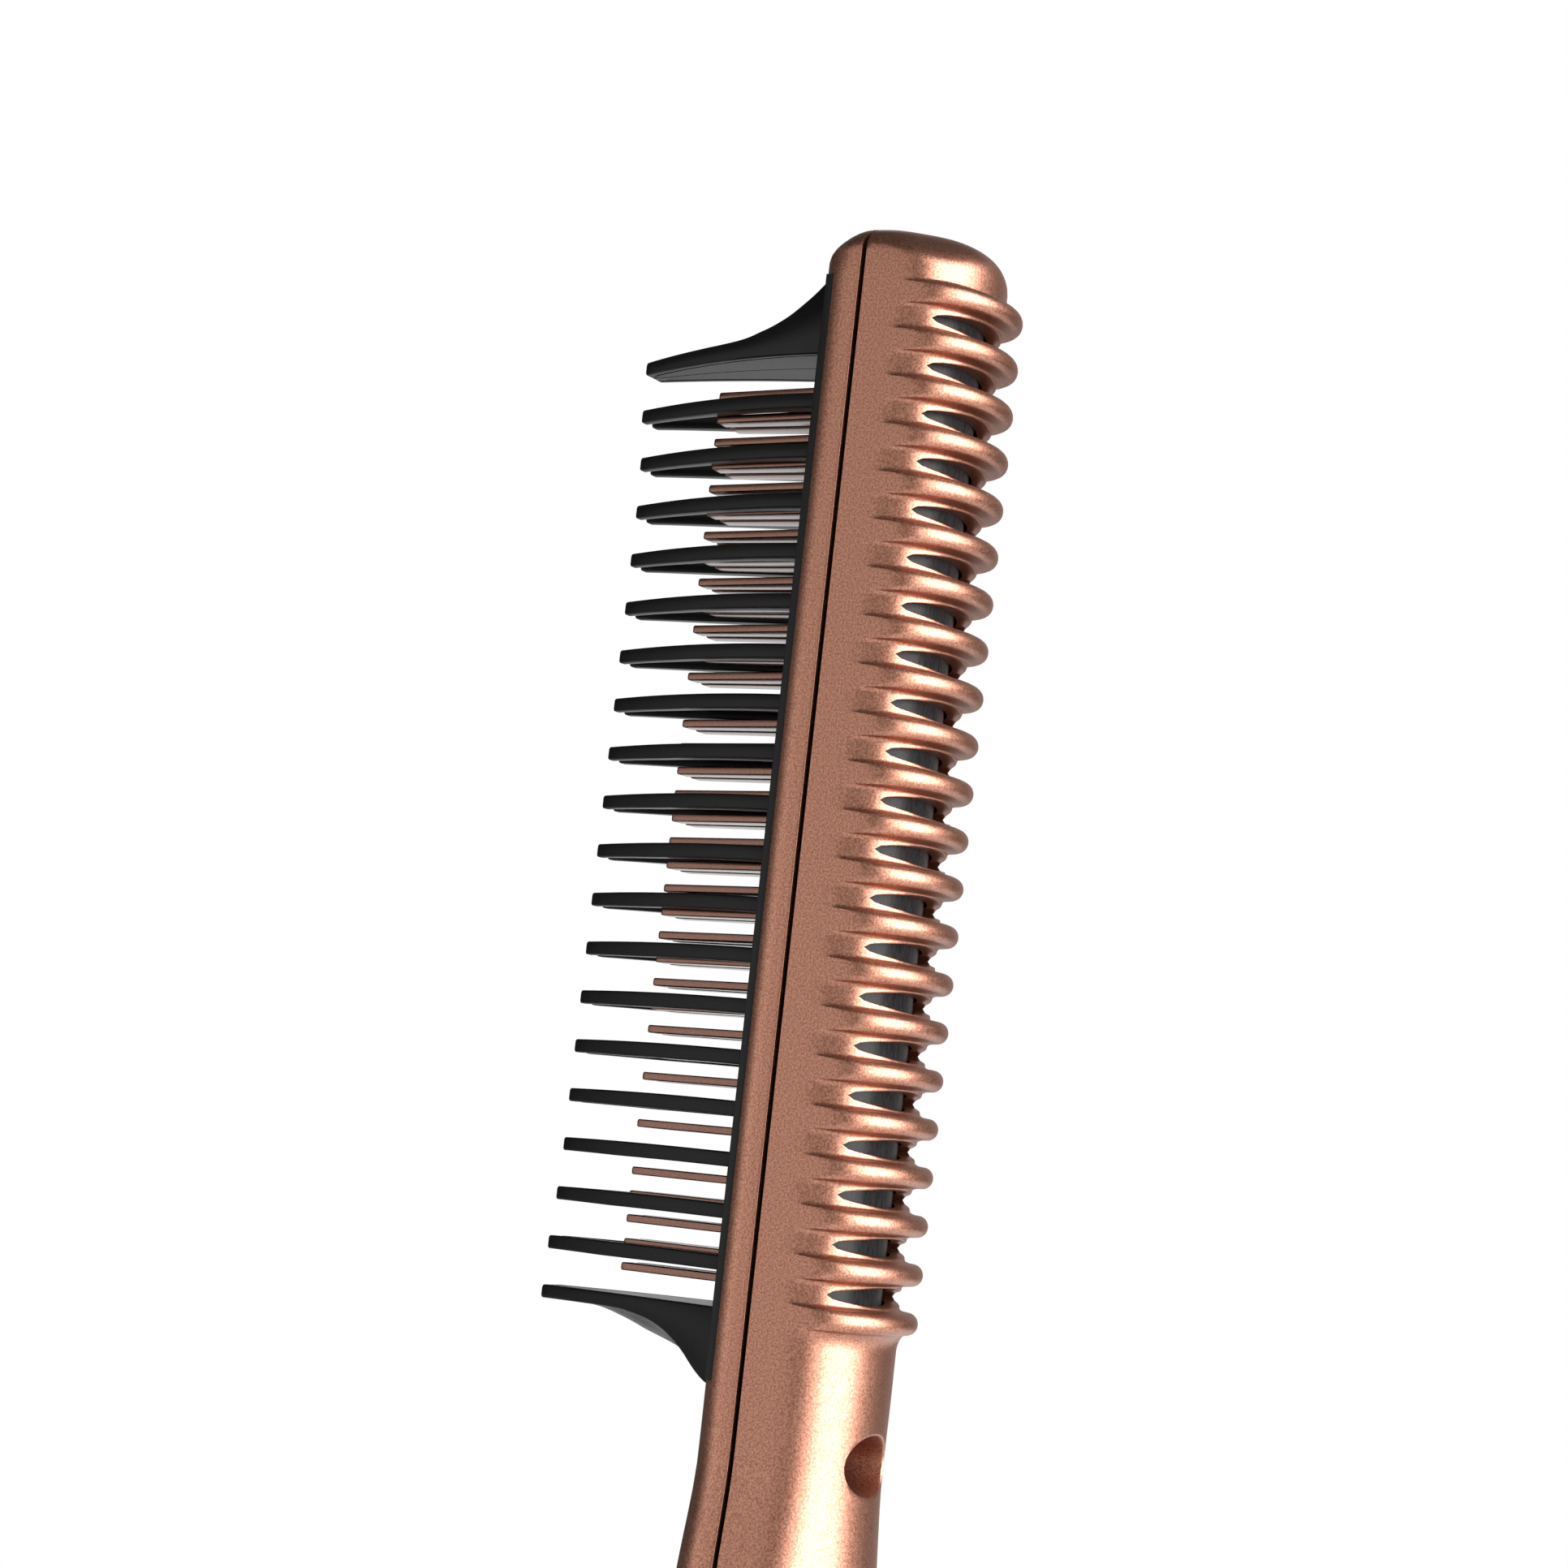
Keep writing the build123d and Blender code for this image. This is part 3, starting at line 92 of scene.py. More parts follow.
def grained(name, grain, stretch, band, colours, roughness, relief):
    """A material and its shader; relief is the bump's strength and distance."""
    material, tree, shader = new_material(name)
    noise = object_noise(tree, grain, 3.0, stretch)
    tree.links.new(ramp(tree, noise, band, colours), shader.inputs["Base Color"])
    tree.links.new(spread(tree, noise, *roughness), shader.inputs["Roughness"])
    tree.links.new(bump(tree, noise, *relief), shader.inputs["Normal"])
    return material, shader


FLAKE_BAND = (0.36, 0.64)
FLAKE_RELIEF = (0.35, 0.00003)
GRAIN_BAND = (0.3, 0.7)
GRAIN_DISTANCE = 0.00002


def metal_coat(name, dark, light, roughness, grain, coat=None):
    """Metal or metallic lacquer with a fine flake; coat is a clear layer's weight and roughness."""
    material, shader = grained(
        name, grain, (1, 1, 1), FLAKE_BAND, (dark, light), roughness, FLAKE_RELIEF,
    )
    shader.inputs["Metallic"].default_value = 1.0
    if coat:
        shader.inputs["Coat Weight"].default_value = coat[0]
        shader.inputs["Coat Roughness"].default_value = coat[1]
    return material


def plastic(
    name, dark, light, roughness, grain=4.0, strength=0.15, stretch=(1, 1, 1), specular=0.5,
):
    """Plastic, ceramic or glass with a fine grain."""
    material, shader = grained(
        name, grain, stretch, GRAIN_BAND, (dark, light),
        (roughness - 0.05, roughness + 0.06), (strength, GRAIN_DISTANCE),
    )
    shader.inputs["Specular IOR Level"].default_value = specular
    return material


def cloudy(name, roughness, colours):
    """Matt paper or cloth for the studio, with wide faint clouds."""
    material, tree, shader = new_material(name)
    shader.inputs["Roughness"].default_value = roughness
    noise = object_noise(tree, 0.02, 2.0)
    tree.links.new(ramp(tree, noise, GRAIN_BAND, colours), shader.inputs["Base Color"])
    return material, tree, shader


ROSE = metal_coat(
    "rose_coat", (0.262, 0.098, 0.058), (0.455, 0.220, 0.146), (0.33, 0.43), 4.0, (0.45, 0.32),
)
FIN = metal_coat(
    "fin_coat", (0.112, 0.050, 0.033), (0.160, 0.076, 0.053), (0.20, 0.28), 5.0, (0.4, 0.08),
)
STEEL = metal_coat("screw_steel", (0.42, 0.42, 0.43), (0.58, 0.58, 0.59), (0.22, 0.34), 3.0)
BRASS = metal_coat("brass_ring", (0.60, 0.43, 0.18), (0.74, 0.55, 0.26), (0.22, 0.32), 3.0)
ALUMINIUM = metal_coat(
    "clamp_aluminium", (0.62, 0.62, 0.62), (0.74, 0.74, 0.74), (0.30, 0.42), 3.0,
)
BLACK = plastic(
    "black_moulded", (0.0030, 0.0026, 0.0026), (0.0060, 0.0052, 0.0052), 0.30, specular=0.16,
)
LINER = plastic(
    "black_liner", (0.006, 0.006, 0.006), (0.019, 0.019, 0.020), 0.28,
    grain=6.0, strength=0.2, stretch=(1, 1, 0.12), specular=0.12,
)
GLOSS = plastic(
    "gloss_black", (0.006, 0.006, 0.007), (0.010, 0.010, 0.011), 0.12, grain=2.0, strength=0.03,
)
WINDOW = plastic(
    "window_tint", (0.012, 0.013, 0.015), (0.018, 0.019, 0.022), 0.06, grain=2.0, strength=0.02,
)
CERAMIC = plastic("heater_ceramic", (0.72, 0.71, 0.68), (0.80, 0.79, 0.76), 0.5)
MICA = plastic("mica", (0.42, 0.33, 0.20), (0.56, 0.45, 0.29), 0.35)
BOARD = plastic("board_green", (0.010, 0.085, 0.035), (0.016, 0.120, 0.050), 0.35)
LEAD = plastic("lead_red", (0.40, 0.020, 0.015), (0.50, 0.030, 0.022), 0.45)
YELLOW = plastic("capacitor_yellow", (0.58, 0.40, 0.04), (0.68, 0.48, 0.06), 0.4)
GLASS = plastic("fuse_glass", (0.45, 0.50, 0.50), (0.55, 0.60, 0.60), 0.1)

# The nodes' materials; the ones that aren't named here are screws and other bright metal
paint = {
    "rear_shell": ROSE, "front_shell": ROSE, "tail_cap": ROSE,
    "power_button": ROSE, "plus_button": ROSE, "minus_button": ROSE,
    "comb_guard": BLACK, "heater_comb": FIN, "liner_left": LINER, "liner_right": LINER,
    "control_panel": GLOSS, "display_window": WINDOW, "display_module": GLOSS,
    "ceramic_heaters": CERAMIC, "mica_sheet": MICA, "clamp_plate": ALUMINIUM,
    "heater_leads": LEAD, "thermistor": BLACK, "control_board": BOARD, "tact_switches": BLACK,
    "terminal_block": BLACK, "triac": BLACK, "film_capacitor": YELLOW,
    "electrolytic_capacitor": GLOSS, "glass_fuse": GLASS, "microcontroller": BLACK,
    "swivel_gland": BLACK, "swivel_contacts": BRASS,
    "contact_block": BLACK, "contact_fingers": BRASS,
}
for name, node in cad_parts.items():
    node.data.materials.clear()
    node.data.materials.append(paint.get(name, STEEL))

# Mesh building: grids of points in millimetres, joined where their points meet
MERGE = 0.002
SHARP = math.radians(38)


def build(name, parts, material, node):
    """One smooth piece that stands in for a node.

    A part is a grid's rows and a test of which of its faces are made, or None for all of them.
    """
    mesh_build = bmesh.new()
    for rows, keep in parts:
        verts = [[mesh_build.verts.new([c * MM for c in point]) for point in row] for row in rows]
        for i, (row, below) in enumerate(zip(verts, verts[1:])):
            for j in range(len(row) - 1):
                if keep is None or keep(i, j):
                    mesh_build.faces.new((row[j], row[j + 1], below[j + 1], below[j]))
    bmesh.ops.remove_doubles(mesh_build, verts=mesh_build.verts, dist=MERGE * MM)
    loose = [v for v in mesh_build.verts if not v.link_faces]
    bmesh.ops.delete(mesh_build, geom=loose, context="VERTS")
    mesh = bpy.data.meshes.new(name)
    mesh_build.to_mesh(mesh)
    mesh_build.free()
    mesh.shade_smooth()
    mesh.set_sharp_from_angle(angle=SHARP)
    piece = bpy.data.objects.new(name, mesh)
    scene.collection.objects.link(piece)
    piece.data.materials.append(material)
    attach(piece, "brush")
    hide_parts(node)


def facing(rows, forward):
    """The rows as they are, or in the other order, so that their faces look the other way."""
    return rows if forward else list(reversed(rows))


def smooth(t):
    t = min(max(t, 0.0), 1.0)
    return t * t * (3 - 2 * t)


# Casing sections: height, then half width, front, back, back radius, front and back corner
STATIONS = (
    (134.2, 11.5, -10.1, 9.8, 16.6, 4.4, 7.5),
    (125.5, 11.55, -10.1, 9.7, 16.6, 4.5, 7.5),
    (111.0, 13.1, -10.7, 10.4, 16.8, 4.8, 8.0),
    (92.0, 14.3, -12.1, 11.8, 17.0, 6.5, 8.6),
    (66.0, 14.6, -12.4, 12.4, 17.2, 7.4, 9.0),
    (38.0, 14.2, -12.4, 12.2, 17.0, 7.2, 9.0),
    (16.0, 13.0, -11.8, 11.6, 15.6, 6.8, 8.4),
    (4.0, 12.4, -11.3, 11.3, 14.8, 7.0, 7.0),
)
HEAD = STATIONS[0][1:]
HEAD_HALF, HEAD_FRONT, HEAD_BACK, HEAD_RADIUS, HEAD_CORNER, HEAD_BACK_CORNER = HEAD
TAIL_TOP = 4.02

# The parting and its groove: how deep it goes, how far from the parting each casing's edge lies
# and its outer wall starts, and how far the edge's corner is taken in. The front casing has one
# more point in the groove, a step in, and its side's other points start at FRONT_SIDE
PARTING = -3.8
GROOVE_DEPTH = 2.2
REAR_EDGE, REAR_WALL, REAR_ROUND = 0.26, 0.31, 0.04
FRONT_EDGE, FRONT_WALL, FRONT_ROUND = 0.38, 0.42, 0.03
FRONT_STEP = 0.80
FRONT_SIDE = 0.52


def tangents(column):
    """Slopes at the stations for a curve that doesn't overshoot."""
    steps = [(b[column] - a[column]) / (b[0] - a[0]) for a, b in zip(STATIONS, STATIONS[1:])]
    inner = [0.0 if a * b <= 0 else 2 * a * b / (a + b) for a, b in zip(steps, steps[1:])]
    return [0.0] + inner + [steps[-1]]


SLOPES = [tangents(column) for column in range(1, len(HEAD) + 1)]


def section_at(z):
    """The casing's six section sizes at a height."""
    if z >= STATIONS[0][0]:
        return HEAD
    k = 0
    while k < len(STATIONS) - 2 and z < STATIONS[k + 1][0]:
        k += 1
    gap = STATIONS[k + 1][0] - STATIONS[k][0]
    t = (z - STATIONS[k][0]) / gap
    return tuple(
        a * (2 * t**3 - 3 * t**2 + 1) + slopes[k] * gap * (t**3 - 2 * t**2 + t)
        + b * (3 * t**2 - 2 * t**3) + slopes[k + 1] * gap * (t**3 - t**2)
        for a, b, slopes in zip(STATIONS[k][1:], STATIONS[k + 1][1:], SLOPES)
    )


def back_arcs(sizes):
    """The y of the back's wide arc's centre, and the x and y of its corner's arc's centre."""
    half, front, back, radius, front_corner, corner = sizes
    centre = back - radius
    corner_x = half - corner
    return centre, corner_x, centre + math.sqrt((radius - corner) ** 2 - corner_x**2)


# Where on the back corner's arc the slots end, so that a column of points lies there
TIP_ANGLE = math.acos(0.82)


def rear_half(sizes):
    """Right half of the rear casing's section: place, and how far a rib's rise moves it."""
    half, front, back, radius, front_corner, corner = sizes
    centre, corner_x, corner_y = back_arcs(sizes)
    lean = math.atan2(corner_y - centre, corner_x)
    points = [
        (half - GROOVE_DEPTH, PARTING + REAR_EDGE, 0),
        (half - REAR_ROUND, PARTING + REAR_EDGE, 0),
        (half, PARTING + REAR_WALL, 0),
    ]
    for i in range(1, 6):
        t = i / 6
        points.append((half, PARTING + REAR_WALL + (corner_y - PARTING - REAR_WALL) * t, t))
    angles = [TIP_ANGLE * i / 8 for i in range(8)]
    angles += [TIP_ANGLE + (lean - TIP_ANGLE) * i / 6 for i in range(6)]
    for angle in angles:
        points.append((corner_x + corner * math.cos(angle), corner_y + corner * math.sin(angle), 1))
    for i in range(13):
        angle = lean + (QUARTER_TURN - lean) * i / 12
        points.append((radius * math.cos(angle), centre + radius * math.sin(angle), 1))
    return points


def front_corner_point(half, front, corner, angle):
    """A point on the front corner's arc, from the side (0) towards the front (a quarter turn)."""
    return half - corner + corner * math.cos(angle), front + corner - corner * math.sin(angle)


def front_side(sizes):
    """The front casing's section from the parting's groove to the start of its front corner."""
    half, front, back, radius, corner, back_corner = sizes
    points = [
        (half - GROOVE_DEPTH, PARTING - FRONT_EDGE),
        (half - FRONT_STEP, PARTING - FRONT_EDGE),
        (half - FRONT_ROUND, PARTING - FRONT_EDGE),
        (half, PARTING - FRONT_WALL),
    ]
    for i in range(1, 4):
        y = PARTING - FRONT_SIDE + (front + corner - PARTING + FRONT_SIDE) * i / 4
        points.append((half, y))
    return points


def front_half(sizes):
    """Right half of the front casing's section, from the parting round to the middle."""
    half, front, back, radius, corner, back_corner = sizes
    points = front_side(sizes)
    for i in range(9):
        points.append(front_corner_point(half, front, corner, QUARTER_TURN * i / 9))
    for i in range(7):
        points.append(((half - corner) * (1 - i / 6), front))
    return points


def whole(points):
    """Both halves of a section as one run."""
    return [tuple(p) for p in points] + [(-p[0], *p[1:]) for p in reversed(points[:-1])]


def rear_surface(x, z):
    """The y of the casing's back at an x and z."""
    half, front, back, radius, front_corner, corner = section_at(z)
    centre, corner_x, corner_y = back_arcs(section_at(z))
    if abs(x) <= radius * corner_x / (radius - corner):
        return centre + math.sqrt(radius**2 - x * x)
    return corner_y + math.sqrt(corner**2 - (abs(x) - corner_x) ** 2)


def front_surface(x, z):
    """The y of the casing's front at an x and z."""
    half, front, back, radius, corner, back_corner = section_at(z)
    over = max(abs(x) - (half - corner), 0.0)
    return front + corner - math.sqrt(corner**2 - over**2)


# Crown: a dome over both casings, with the seam running over it
CROWN_TOP = 279.98
CROWN_SIDE = 275.6
CROWN_SQUARENESS = 2.4
CROWN_STEPS = 18
CROWN_ROUNDING = 1.3
CORNER_FALL = 0.9
SEAM_HALF = 0.52
SEAM_DEPTH = 0.55
# Each casing's dome: the height of its foot at the back or front, and that foot's distance from
# the parting
REAR_DOME = (274.2, 13.6)
FRONT_DOME = (273.6, 6.3)


def crown_rows(half_section, start, end_base, end_reach):
    """Rows of a casing's domed top, from the height where it starts.

    The dome's foot lies at CROWN_SIDE at the sides, and at end_base at the casing's back or
    front, end_reach from the parting. The seam's edge columns stay sunk all the way over it.
    """
    rim = whole(half_section(HEAD))
    rows = [[(p[0], p[1], start) for p in rim]]
    power = 2 / CROWN_SQUARENESS
    for i in range(CROWN_STEPS + 1):
        angle = QUARTER_TURN * i / CROWN_STEPS
        share = math.cos(angle) ** power if i < CROWN_STEPS else 0.0
        lift = math.sin(angle) ** power
        row = []
        for j, p in enumerate(rim):
            x, away = p[0], p[1] - PARTING
            lean = math.sin(math.atan2(abs(away), abs(x) + 1e-6)) ** 2
            base = CROWN_SIDE + (end_base - CROWN_SIDE) * lean
            base -= CORNER_FALL * (4 * lean * (1 - lean)) ** 2
            z = base + (CROWN_TOP - base) * lift
            round_in = 1 / math.hypot(x / HEAD_HALF, away / end_reach)
            pull = share * (1 + (min(round_in, 1.0) - 1) * smooth(lift * CROWN_ROUNDING))
            beyond = max(abs(away) - SEAM_HALF, 0.0)
            y = PARTING + math.copysign(min(abs(away), SEAM_HALF) + beyond * pull, away)
            if j in (0, len(rim) - 1):
                z -= SEAM_DEPTH * lift
            row.append((x * pull, y, z))
        rows.append(row)
    return rows


# Rear casing: ribs with rounded noses, the troughs between them, and a slot in each trough
RIBS = 22
PITCH = 6.05
RIB_TOP = 270.3
RIB_BOTTOM = RIB_TOP - (RIBS - 1) * PITCH
RISE = 3.05
NOSE = 1.35
NOSE_STEPS = 6
FLANK_STEPS = 5
SLOT_HALF_LENGTH = 10.15
SLOT_HALF_HEIGHT = 1.2
SLOT_BLUNTNESS = 0.36
LIP = 0.33
LIP_FADE = 1.5
LIP_LOSS = 0.7
COLLAR = 0.5
COLLAR_FADE = 1.32
TROUGH_DROP = 0.42
TROUGH_END = 11.47
TROUGH_CORNER = 8.8
VALLEY_BACK = 9.3
TOP_FLANK = 0.55
BOTTOM_FLANK = 2.3
WALL = 1.9


def nose(steps):
    """A rib's rounded nose: distance from the rib's middle, and rise."""
    angles = [QUARTER_TURN * i / steps for i in range(steps)]
    return [(NOSE * math.sin(a), RISE - NOSE * (1 - math.cos(a))) for a in angles]


def flank(width, foot, steps):
    """Hollow flank from under the nose out to its foot."""
    angles = [QUARTER_TURN * i / steps for i in range(steps + 1)]
    fall = RISE - NOSE - foot
    return [(NOSE + width * (1 - math.cos(a)), foot + fall * (1 - math.sin(a))) for a in angles]


def trough(x):
    """From a rib's middle to the slot's edge, or to the trough's middle beyond the slot's ends."""
    share = min(abs(x) / SLOT_HALF_LENGTH, 1.0)
    edge = PITCH / 2 - SLOT_HALF_HEIGHT * (1 - share**2) ** SLOT_BLUNTNESS
    fade = smooth((TROUGH_END - abs(x)) / LIP_FADE)
    collar = COLLAR * share**4 * smooth((TROUGH_END - abs(x)) / COLLAR_FADE)
    lip = LIP * fade * (1 - LIP_LOSS * share**2) + collar
    drop = TROUGH_DROP * fade * (1 - share**2)
    width = min(0.55 * (edge - NOSE), 0.8)
    run = nose(NOSE_STEPS) + flank(width, lip, FLANK_STEPS)
    rest = edge - NOSE - width
    for i in range(1, 6):
        angle = QUARTER_TURN * i / 5
        run.append((NOSE + width + rest * math.sin(angle), lip - drop * (1 - math.cos(angle))))
    return run


valley_sizes = (HEAD_HALF, HEAD_FRONT, VALLEY_BACK, HEAD_RADIUS, HEAD_CORNER)
valley = whole(rear_half((*valley_sizes, HEAD_BACK_CORNER)))
trough_foot = whole(rear_half((*valley_sizes, TROUGH_CORNER)))
trough_runs = [trough(x) for x, y, weight in valley]
above_first = nose(NOSE_STEPS) + flank(TOP_FLANK, HEAD_BACK - VALLEY_BACK, FLANK_STEPS)
below_last = nose(NOSE_STEPS) + flank(BOTTOM_FLANK, HEAD_BACK - VALLEY_BACK, 8)


def rib_rows(runs, middle, side, foot):
    """Rows of half a rib, from its middle up (side 1) or down (side -1) to its foot's section."""
    rows = []
    for k in range(len(runs[0])):
        row = []
        for (x, y, weight), (foot_x, foot_y, foot_weight), run in zip(valley, foot, runs):
            share = run[k][1] / RISE
            row.append((
                foot_x + (x - foot_x) * share,
                foot_y + (y + weight * RISE - foot_y) * share,
                middle + side * run[k][0],
            ))
        rows.append(row)
    return rows


rear_parts = []
slot_columns = [j for j, (x, y, weight) in enumerate(valley) if abs(x) <= SLOT_HALF_LENGTH + 0.001]
for number in range(RIBS):
    middle = RIB_TOP - number * PITCH
    slot_above, slot_below = number > 0, number < RIBS - 1
    above = rib_rows(trough_runs, middle, 1, trough_foot)
    below = rib_rows(trough_runs, middle, -1, trough_foot)
    if not slot_above:
        above = rib_rows([above_first] * len(valley), middle, 1, valley)
    if not slot_below:
        below = rib_rows([below_last] * len(valley), middle, -1, valley)
    rear_parts.append((list(reversed(above)) + below[1:], None))
    for rows, slotted in ((above, slot_above), (below, slot_below)):
        if slotted:
            edge_row = [rows[-1][j] for j in slot_columns]
            inner_row = [(x, y - WALL, z) for x, y, z in edge_row]
            rear_parts.append((facing([edge_row, inner_row], rows is below), None))

crown_start = RIB_TOP + above_first[-1][0]
rear_parts.append((list(reversed(crown_rows(rear_half, crown_start, *REAR_DOME))), None))


# Openings: the screw well in the neck's back and the panel's seat in the handle's front
class Outline:
    """An opening's outline round the casing's middle at a height."""

    def __init__(self, middle, half_width, half_height):
        self.middle = middle
        self.half_width = half_width
        self.half_height = half_height


class Oval(Outline):
    def towards(self, x, z):
        """The outline's point in the direction of a place."""
        angle = math.atan2((z - self.middle) / self.half_height, x / self.half_width)
        return self.half_width * math.cos(angle), self.middle + self.half_height * math.sin(angle)


class Capsule(Outline):
    def towards(self, x, z):
        """The outline's point in the direction of a place."""
        up = z - self.middle
        straight = self.half_height - self.half_width
        if abs(x) > 1e-6 and abs(up) / abs(x) * self.half_width <= straight:
            scale = self.half_width / abs(x)
            return x * scale, self.middle + up * scale
        length = math.hypot(x, up)
        dx, dz = x / length, abs(up) / length
        inside = (straight * dz) ** 2 - straight**2 + self.half_width**2
        reach = straight * dz + math.sqrt(max(inside, 0.0))
        return dx * reach, self.middle + math.copysign(dz * reach, up)


def opening(rows, box, outline, surface, wall):
    """Parts: a grid with a hole in it, and the faces from the hole's border in to the outline.

    The box gives the hole's first and last row and column. The wall's steps give how far inside
    the outline they lie, and their y from the outline's y.
    """
    first_row, last_row, first_column, last_column = box

    def outside(i, j):
        return not (first_row <= i < last_row and first_column <= j < last_column)

    border = [rows[first_row][j] for j in range(first_column, last_column)]
    border += [rows[i][last_column] for i in range(first_row, last_row)]
    border += [rows[last_row][j] for j in range(last_column, first_column, -1)]
    border += [rows[i][first_column] for i in range(last_row, first_row, -1)]
    border.append(border[0])
    rim = [outline.towards(x, z) for x, y, z in border]
    rings = [border]
    for share in (0.3, 0.6, 0.85, 1.0):
        ring = []
        for (x, y, z), (rim_x, rim_z) in zip(border, rim):
            at_x = x + (rim_x - x) * share
            at_z = z + (rim_z - z) * share
            ring.append((at_x, surface(at_x, at_z), at_z))
        rings.append(ring)
    edge = rings[-1]
    for inward, sink in wall:
        ring = []
        for x, y, z in edge:
            up = z - outline.middle
            away = math.hypot(x, up) or 1.0
            ring.append((x - x / away * inward, sink(y), z - up / away * inward))
        rings.append(ring)
    return [(rows, outside), (rings, None)]


def going_down(top, step, stop):
    """Heights a step apart below the top one, as far as the stop."""
    return [top - step * i for i in range(1, int((top - stop) / step) + 1)]


# Neck and handle at the back
WELL = Oval(125.8, 5.9, 4.0)
WELL_FLOOR = 1.3
WELL_WALL = (
    (0.12, lambda y: y - 0.05), (0.22, lambda y: y - 0.22), (0.24, lambda y: WELL_FLOOR + 0.2),
    (0.5, lambda y: WELL_FLOOR), (3.4, lambda y: WELL_FLOOR),
)
rear_heights = [RIB_BOTTOM - below_last[-1][0], 137.4, 136.0, 134.6, 133.2, 131.8]
rear_heights += going_down(131.8, 1.2, 119.0) + going_down(119.8, 2.9, 5.5) + [TAIL_TOP]
rear_rows = [
    [(x, y, z) for x, y, weight in whole(rear_half(section_at(z)))] for z in rear_heights
]
centre_column = len(rear_rows[0]) // 2
box = (
    min(i for i, z in enumerate(rear_heights) if z < WELL.middle + 6.0),
    max(i for i, z in enumerate(rear_heights) if z > WELL.middle - 6.0),
    centre_column - 11, centre_column + 11,
)
rear_parts += opening(rear_rows, box, WELL, rear_surface, WELL_WALL)
build("rear_shell_skin", rear_parts, ROSE, "rear_shell")

# Front casing: the crown, and the strips beside the comb with the seat that the guard lies in
GUARD_TOP = 272.8
GUARD_BOTTOM = 134.2
LEDGE = -8.0
LEDGE_OUTER = 10.6
LEDGE_INNER = 9.9
LEDGE_STEP = 1.2
front_parts = [(crown_rows(front_half, GUARD_TOP, *FRONT_DOME), None)]
strip = front_side(HEAD)
cut = math.asin((HEAD_FRONT + HEAD_CORNER - LEDGE) / HEAD_CORNER)
for i in range(7):
    strip.append(front_corner_point(HEAD_HALF, HEAD_FRONT, HEAD_CORNER, cut * i / 6))
strip += [(LEDGE_OUTER, LEDGE), (LEDGE_INNER, LEDGE), (LEDGE_INNER, LEDGE + LEDGE_STEP)]
levels = [GUARD_BOTTOM + (GUARD_TOP - GUARD_BOTTOM) * i / 24 for i in range(25)]
front_parts.append(([[(x, y, z) for x, y in strip] for z in levels], None))
front_parts.append(([[(-x, y, z) for x, y in reversed(strip)] for z in levels], None))
for level in (GUARD_TOP, GUARD_BOTTOM):
    rim = [(x, y, level) for x, y in whole(front_half(HEAD)) if y <= LEDGE]
    inner = [
        (x, LEDGE if abs(x) > LEDGE_INNER else LEDGE + LEDGE_STEP, level) for x, y, z in rim
    ]
    front_parts.append((facing([rim, inner], level == GUARD_TOP), None))

# Neck and handle at the front
PANEL = Capsule(65.0, 6.4, 27.1)
PANEL_SEAT = -11.3
PANEL_WALL = ((0.05, lambda y: y + 0.12), (0.06, lambda y: PANEL_SEAT))
front_heights = [GUARD_BOTTOM, 132.0, 130.0] + going_down(130.0, 3.0, 5.0) + [TAIL_TOP]
front_rows = [[(x, y, z) for x, y in whole(front_half(section_at(z)))] for z in front_heights]
centre_column = len(front_rows[0]) // 2
box = (
    max(i for i, z in enumerate(front_heights) if z > PANEL.middle + PANEL.half_height + 2.0),
    min(i for i, z in enumerate(front_heights) if z < PANEL.middle - PANEL.half_height - 2.0),
    centre_column - 6, centre_column + 6,
)


def turned(rows, keep):
    """A part with its rows in the other order, and its test to match."""
    last = len(rows) - 2
    return list(reversed(rows)), None if keep is None else lambda i, j: keep(last - i, j)


front_parts += [
    turned(*part) for part in opening(front_rows, box, PANEL, front_surface, PANEL_WALL)
]
build("front_shell_skin", front_parts, ROSE, "front_shell")

# Comb: the guard's frame, its rows of paired blades, and an end row with a web at each end
FACE = -9.1
GUARD_BACK = -6.8
ROWS = 20
ROW_TOP = 262.3
ROW_PITCH = 6.342
ROW_BOTTOM = ROW_TOP - (ROWS - 1) * ROW_PITCH
MIDDLE_DROP = 0.26
REACH = 27.8
EXTRA_REACH = {0: 1.2, 1: 1.0, 2: 0.45, 17: 0.45, 18: 0.85, 19: 1.0}
USUAL_EXTRA = 0.25
ROOT_EDGE = 8.6
TIP_EDGE = 2.2
LEAN = 3.3
BEND = ROOT_EDGE - LEAN - TIP_EDGE
ROOT_WIDTH = 3.2
WIDTH_LOSS = 1.7
ROW_HALF = 0.84
ROOT_DEEPER = 0.16
BLADE_CORNER = 0.22
TIP_ROUND = 0.42
ROOT_SUNK = 0.5
PRONG_STEPS = 12
# How far a blade's root stands above its tip: at the bottom, what is added by the top, and what
# the top row has besides
ROOT_RAISED = 0.35
ROOT_RAISED_MORE = 0.95
TOP_ROW_MORE = 0.3
RAISED_REACH = 29.0


def raised(y, middle):
    """How far a blade of a row stands above its tip's height, at a place along it.

    What is added grows over the 120 mm between the bottom row and the top one.
    """
    t = min(max((FACE - y) / RAISED_REACH, 0.0), 1.0)
    most = ROOT_RAISED + ROOT_RAISED_MORE * (middle - 142.0) / 120.0
    most += TOP_ROW_MORE if middle > 260 else 0.0
    return most * (1 - t**2.2)


def blade_edge(t):
    """The blade's outer edge, from the comb's middle, at a share of its length."""
    return ROOT_EDGE - LEAN * t - BEND * t * t


def blade_edges(t):
    outer = blade_edge(t)
    return outer, outer - (ROOT_WIDTH - WIDTH_LOSS * t)


def blade_height(middle, far):
    """A blade's height as a function of the share of its length."""
    return lambda t: middle + raised(FACE - t * far, middle)


